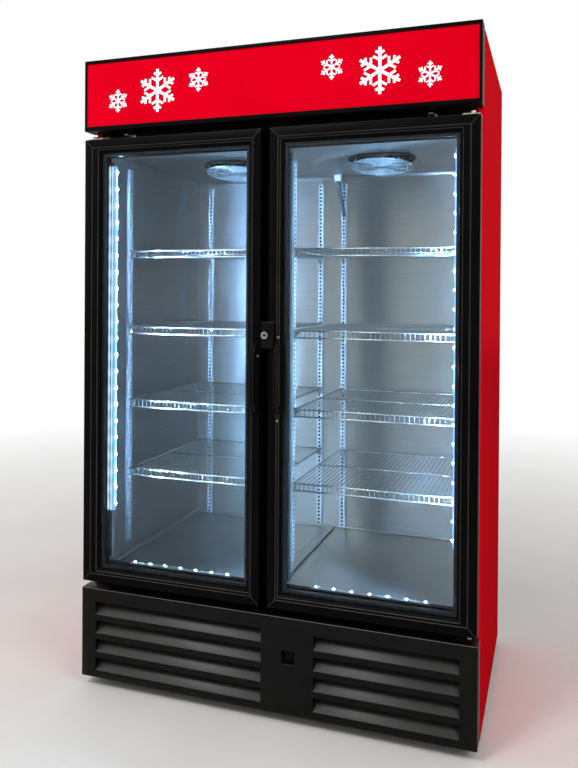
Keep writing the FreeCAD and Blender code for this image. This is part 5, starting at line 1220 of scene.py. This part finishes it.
def wire_ring(radius, wire, level):
    """A closed ring of wire round the fan."""
    bpy.ops.object.select_all(action="DESELECT")
    bpy.ops.mesh.primitive_torus_add(major_segments=56, minor_segments=6, major_radius=radius,
                                     minor_radius=wire, location=(FAN_X, FAN_Y, level))
    return settle("ring")


def fan_guard():
    """Rings below, spokes above them, all tilted, and posts up to the ceiling."""
    guard_front = FAN_Y - GUARD_REACH
    wires = [wire_ring(FIRST_RING + RING_STEP * number, GUARD_WIRE, GUARD_LEVEL)
             for number in range(RING_COUNT)]
    middle = Vector((FAN_X, FAN_Y, GUARD_LEVEL + 2 * GUARD_WIRE))
    for number in range(SPOKE_COUNT):
        angle = math.pi * number / SPOKE_COUNT
        out = Vector((math.cos(angle), math.sin(angle), 0)) * GUARD_REACH
        wires.append(rod("spoke", middle - out, middle + out, SPOKE_RADIUS, 8))
    hub = rod("hub", (FAN_X, FAN_Y, GUARD_LEVEL - HUB_BELOW), (FAN_X, FAN_Y, GUARD_LEVEL + HUB_ABOVE),
              HUB_RADIUS, 24)
    grid = join("grid", wires + [soften(hub, HUB_ROUND)])
    pick_points(grid, lambda place: True)
    bpy.ops.transform.rotate(value=GUARD_TILT, orient_axis="X",
                             center_override=(FAN_X, guard_front, GUARD_LEVEL))
    close_edit()
    posts = []
    for number in range(POST_COUNT):
        angle = math.pi * (0.25 + 2 * number / POST_COUNT)
        x, y = FAN_X + POST_REACH * math.cos(angle), FAN_Y + POST_REACH * math.sin(angle)
        foot = GUARD_LEVEL - (y - guard_front) * math.tan(GUARD_TILT)
        posts.append(rod("post", (x, y, foot), (x, y, CEILING), POST_RADIUS, 10))
    return join("guard", [grid] + posts)


def with_left_copy(name, right):
    """Join a piece at the right fan with its copy at the left fan."""
    return join(name, [right, copy_of(right, name, (-2 * FAN_X, 0, 0))])


guards = with_left_copy("wire_fan_guards", fan_guard())
guards.data.materials.append(plated_metal("guard_zinc", "84898C", "94999C", 0.4, 30.0, 0.35))
dress(guards, "cabinet", "bright_wire", "fan_guards")
rims = with_left_copy("fan_rims", wire_ring(RIM_RADIUS, RIM_WIRE, CEILING - RIM_BELOW))
dress(rims, "cabinet", "black_plastic", "fan_guards")

# %% Ceiling flange, screws and drain
FLANGE_SHEET, FLANGE_HEIGHT, FLANGE_ROUND = 0.003, 0.011, 0.0012
CEILING_SCREW_REACH, CEILING_SCREW_TURNS, CEILING_SCREW_RADIUS = 0.135, (0.6, 2.4, 3.9, 5.6), 0.005
CUP_HEIGHT, CUP_RADIUS, CUP_TAPER, CUP_RIM, CUP_HOLLOW, CUP_ROUND = 0.024, 0.015, 0.82, 0.003, 0.004, 0.001
PIPE_START, PIPE_LEAN, PIPE_RADIUS, PIPE_WALL, PIPE_HOLLOW = 0.020, (0.022, 0.012), 0.007, 0.0015, 0.010
flange = bar("ceiling_flange", (-INNER_HALF, INNER_BACK - FLANGE_SHEET, CEILING - FLANGE_HEIGHT),
             (INNER_HALF, INNER_BACK, CEILING))
dress(soften(flange, FLANGE_ROUND), "cabinet", "stainless_steel")
ceiling_places = [(side * FAN_X + CEILING_SCREW_REACH * math.cos(turn),
                   FAN_Y + CEILING_SCREW_REACH * math.sin(turn), CEILING)
                  for side in SIDES.values() for turn in CEILING_SCREW_TURNS]
screws("ceiling_screws", "cabinet", "bright_wire", ceiling_places, DOWNWARD, CEILING_SCREW_RADIUS)

DRAIN_LOW, DRAIN_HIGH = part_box("drain_tube")
drain_x, drain_y = (DRAIN_LOW.x + DRAIN_HIGH.x) / 2, (DRAIN_LOW.y + DRAIN_HIGH.y) / 2
cup = rod("drain_cup", (drain_x, drain_y, CEILING - CUP_HEIGHT), (drain_x, drain_y, CEILING), CUP_RADIUS, 32)
pick_faces(cup, faces_down)
bpy.ops.transform.resize(value=(CUP_TAPER, CUP_TAPER, 1), center_override=(drain_x, drain_y, 0))
bpy.ops.mesh.inset(thickness=CUP_RIM, depth=-CUP_HOLLOW)
close_edit()
dress(soften(cup, CUP_ROUND), "cabinet", "white_plastic", "drain_tube")
pipe = rod("drain_pipe", (drain_x, drain_y, CEILING - PIPE_START),
           (drain_x + PIPE_LEAN[0], drain_y + PIPE_LEAN[1], DRAIN_LOW.z), PIPE_RADIUS, 24)
sink(pipe, faces_down, PIPE_WALL, PIPE_HOLLOW)
dress(pipe, "cabinet", "grey_plastic", "drain_tube")

# %% [markdown]
# ## Floor of the inside
# The steel floor meets the walls in a small rounded coving, and a flat rib covers the seam between the two
# halves.  Long bars with a wide bevel on the upper edge are enough.

# %% Floor trims
INNER_FLOOR, WEB_BACK, RIB_HEIGHT, TRIM_ROUND = 0.364, DOOR_FRONT + 0.1993, 0.008, 0.0025
COVING, BACK_COVING, SIDE_COVING, SIDE_COVING_FRONT = 0.010, 0.007, 0.014, CABINET_FRONT + 0.022
trims = [
    bar("rib", (-WEB_HALF, WEB_BACK, INNER_FLOOR), (WEB_HALF, rear_y, INNER_FLOOR + RIB_HEIGHT)),
    bar("back_coving", (-INNER_HALF, INNER_BACK - COVING, INNER_FLOOR),
        (INNER_HALF, INNER_BACK, INNER_FLOOR + BACK_COVING))]
for side in SIDES.values():
    left, right = sorted((side * INNER_HALF, side * (INNER_HALF - COVING)))
    trims.append(bar("side_coving", (left, SIDE_COVING_FRONT, INNER_FLOOR),
                     (right, INNER_BACK, INNER_FLOOR + SIDE_COVING)))
dress(soften(join("floor_trims", trims), TRIM_ROUND, 3), "cabinet", "stainless_steel")

# %% [markdown]
# ## Camera and light
# The camera stands to the right of the middle at chest height and looks at the left door, as in the
# photograph.  Three large soft lamps and a pale floor give plain shop light.

# %% Camera
CAMERA_PLACE = (0.807, DOOR_FRONT - 2.109, 1.2655)
# In radians, how far the camera is turned away from looking level and straight at the doors.
CAMERA_NOD, CAMERA_ROLL, CAMERA_TURN = -0.0056, -0.0067, 0.3347
bpy.ops.object.camera_add(location=CAMERA_PLACE,
                          rotation=(math.pi / 2 + CAMERA_NOD, CAMERA_ROLL, CAMERA_TURN))
camera = bpy.context.object
camera.data.sensor_width = 36.0
camera.data.lens = 35.95
camera.data.shift_x = 0.0013
camera.data.shift_y = -0.1137
bpy.context.scene.camera = camera
print("the camera stands", round(DOOR_FRONT - camera.location.y, 3), "in front of the doors")

# %% Floor
FLOOR_SIZE, FADE_START, FADE_END = 30.0, 1.2, 5.0


def pale_floor():
    """A plain pale floor that keeps the shadow near the cooler and fades to white far from it."""
    material, place = new_material("pale_floor")
    color, _ = clouded(material, place, "E4E2DF", "ECEAE8", 2.0)
    near = add_node(material, "BsdfPrincipled", {"Roughness": 0.55}, Base_Color=color).outputs["BSDF"]
    white = add_node(material, "Emission", {"Color": (1, 1, 1, 1), "Strength": 1.0}).outputs["Emission"]
    far = add_node(material, "VectorMath", {"operation": "LENGTH"}, _0=place).outputs["Value"]
    fade = add_node(material, "MapRange", {"From Min": FADE_START, "From Max": FADE_END}, Value=far)
    seen = add_node(material, "LightPath").outputs["Is Camera Ray"]
    share = add_node(material, "Math", {"operation": "MULTIPLY"}, _0=fade.outputs["Result"], _1=seen)
    shader = add_node(material, "MixShader", Fac=share.outputs["Value"], _1=near, _2=white)
    add_node(material, "OutputMaterial", Surface=shader.outputs["Shader"])
    return material


bpy.ops.mesh.primitive_plane_add(size=FLOOR_SIZE, location=(0, 0, 0))
floor = bpy.context.object
floor.name = "floor"
floor.data.materials.append(pale_floor())
print("the floor is", FLOOR_SIZE, "m wide")

# %% Sky and lamps
world = bpy.data.worlds.new("studio")
bpy.context.scene.world = world
world.use_nodes = True
world.node_tree.nodes.clear()
sky = add_node(world, "Background", {"Color": (1, 1, 1, 1), "Strength": 0.5}).outputs["Background"]
white = add_node(world, "Background", {"Color": (1, 1, 1, 1), "Strength": 1.0}).outputs["Background"]
path = add_node(world, "LightPath").outputs
seen = add_node(world, "Math", {"operation": "MAXIMUM"}, _0=path["Is Camera Ray"],
                _1=path["Is Transmission Ray"])
shown = add_node(world, "Math", {"operation": "MAXIMUM"}, _0=seen.outputs["Value"], _1=path["Is Glossy Ray"])
choice = add_node(world, "MixShader", Fac=shown.outputs["Value"], _1=sky, _2=white)
add_node(world, "OutputWorld", Surface=choice.outputs["Shader"])


def soft_lamp(name, place, aim, size, power):
    """A square lamp that faces a point."""
    bpy.ops.object.light_add(type="AREA", location=place)
    lamp = bpy.context.object
    lamp.name = name
    lamp.data.size = size
    lamp.data.energy = power
    lamp.rotation_euler = (Vector(aim) - Vector(place)).to_track_quat("-Z", "Y").to_euler()
    print(name, "gives", power, "W")


soft_lamp("key_lamp", (3.2, -2.2, 3.4), (0, 0, 1.0), 1.8, 40.0)
soft_lamp("fill_lamp", (-3.4, -2.4, 2.8), (0, 0, 1.0), 2.2, 20.0)
soft_lamp("top_lamp", (-1.2, -3.1, 4.1), (0, -0.3, 0.3), 1.2, 75.0)
bpy.context.scene.view_settings.view_transform = "Standard"
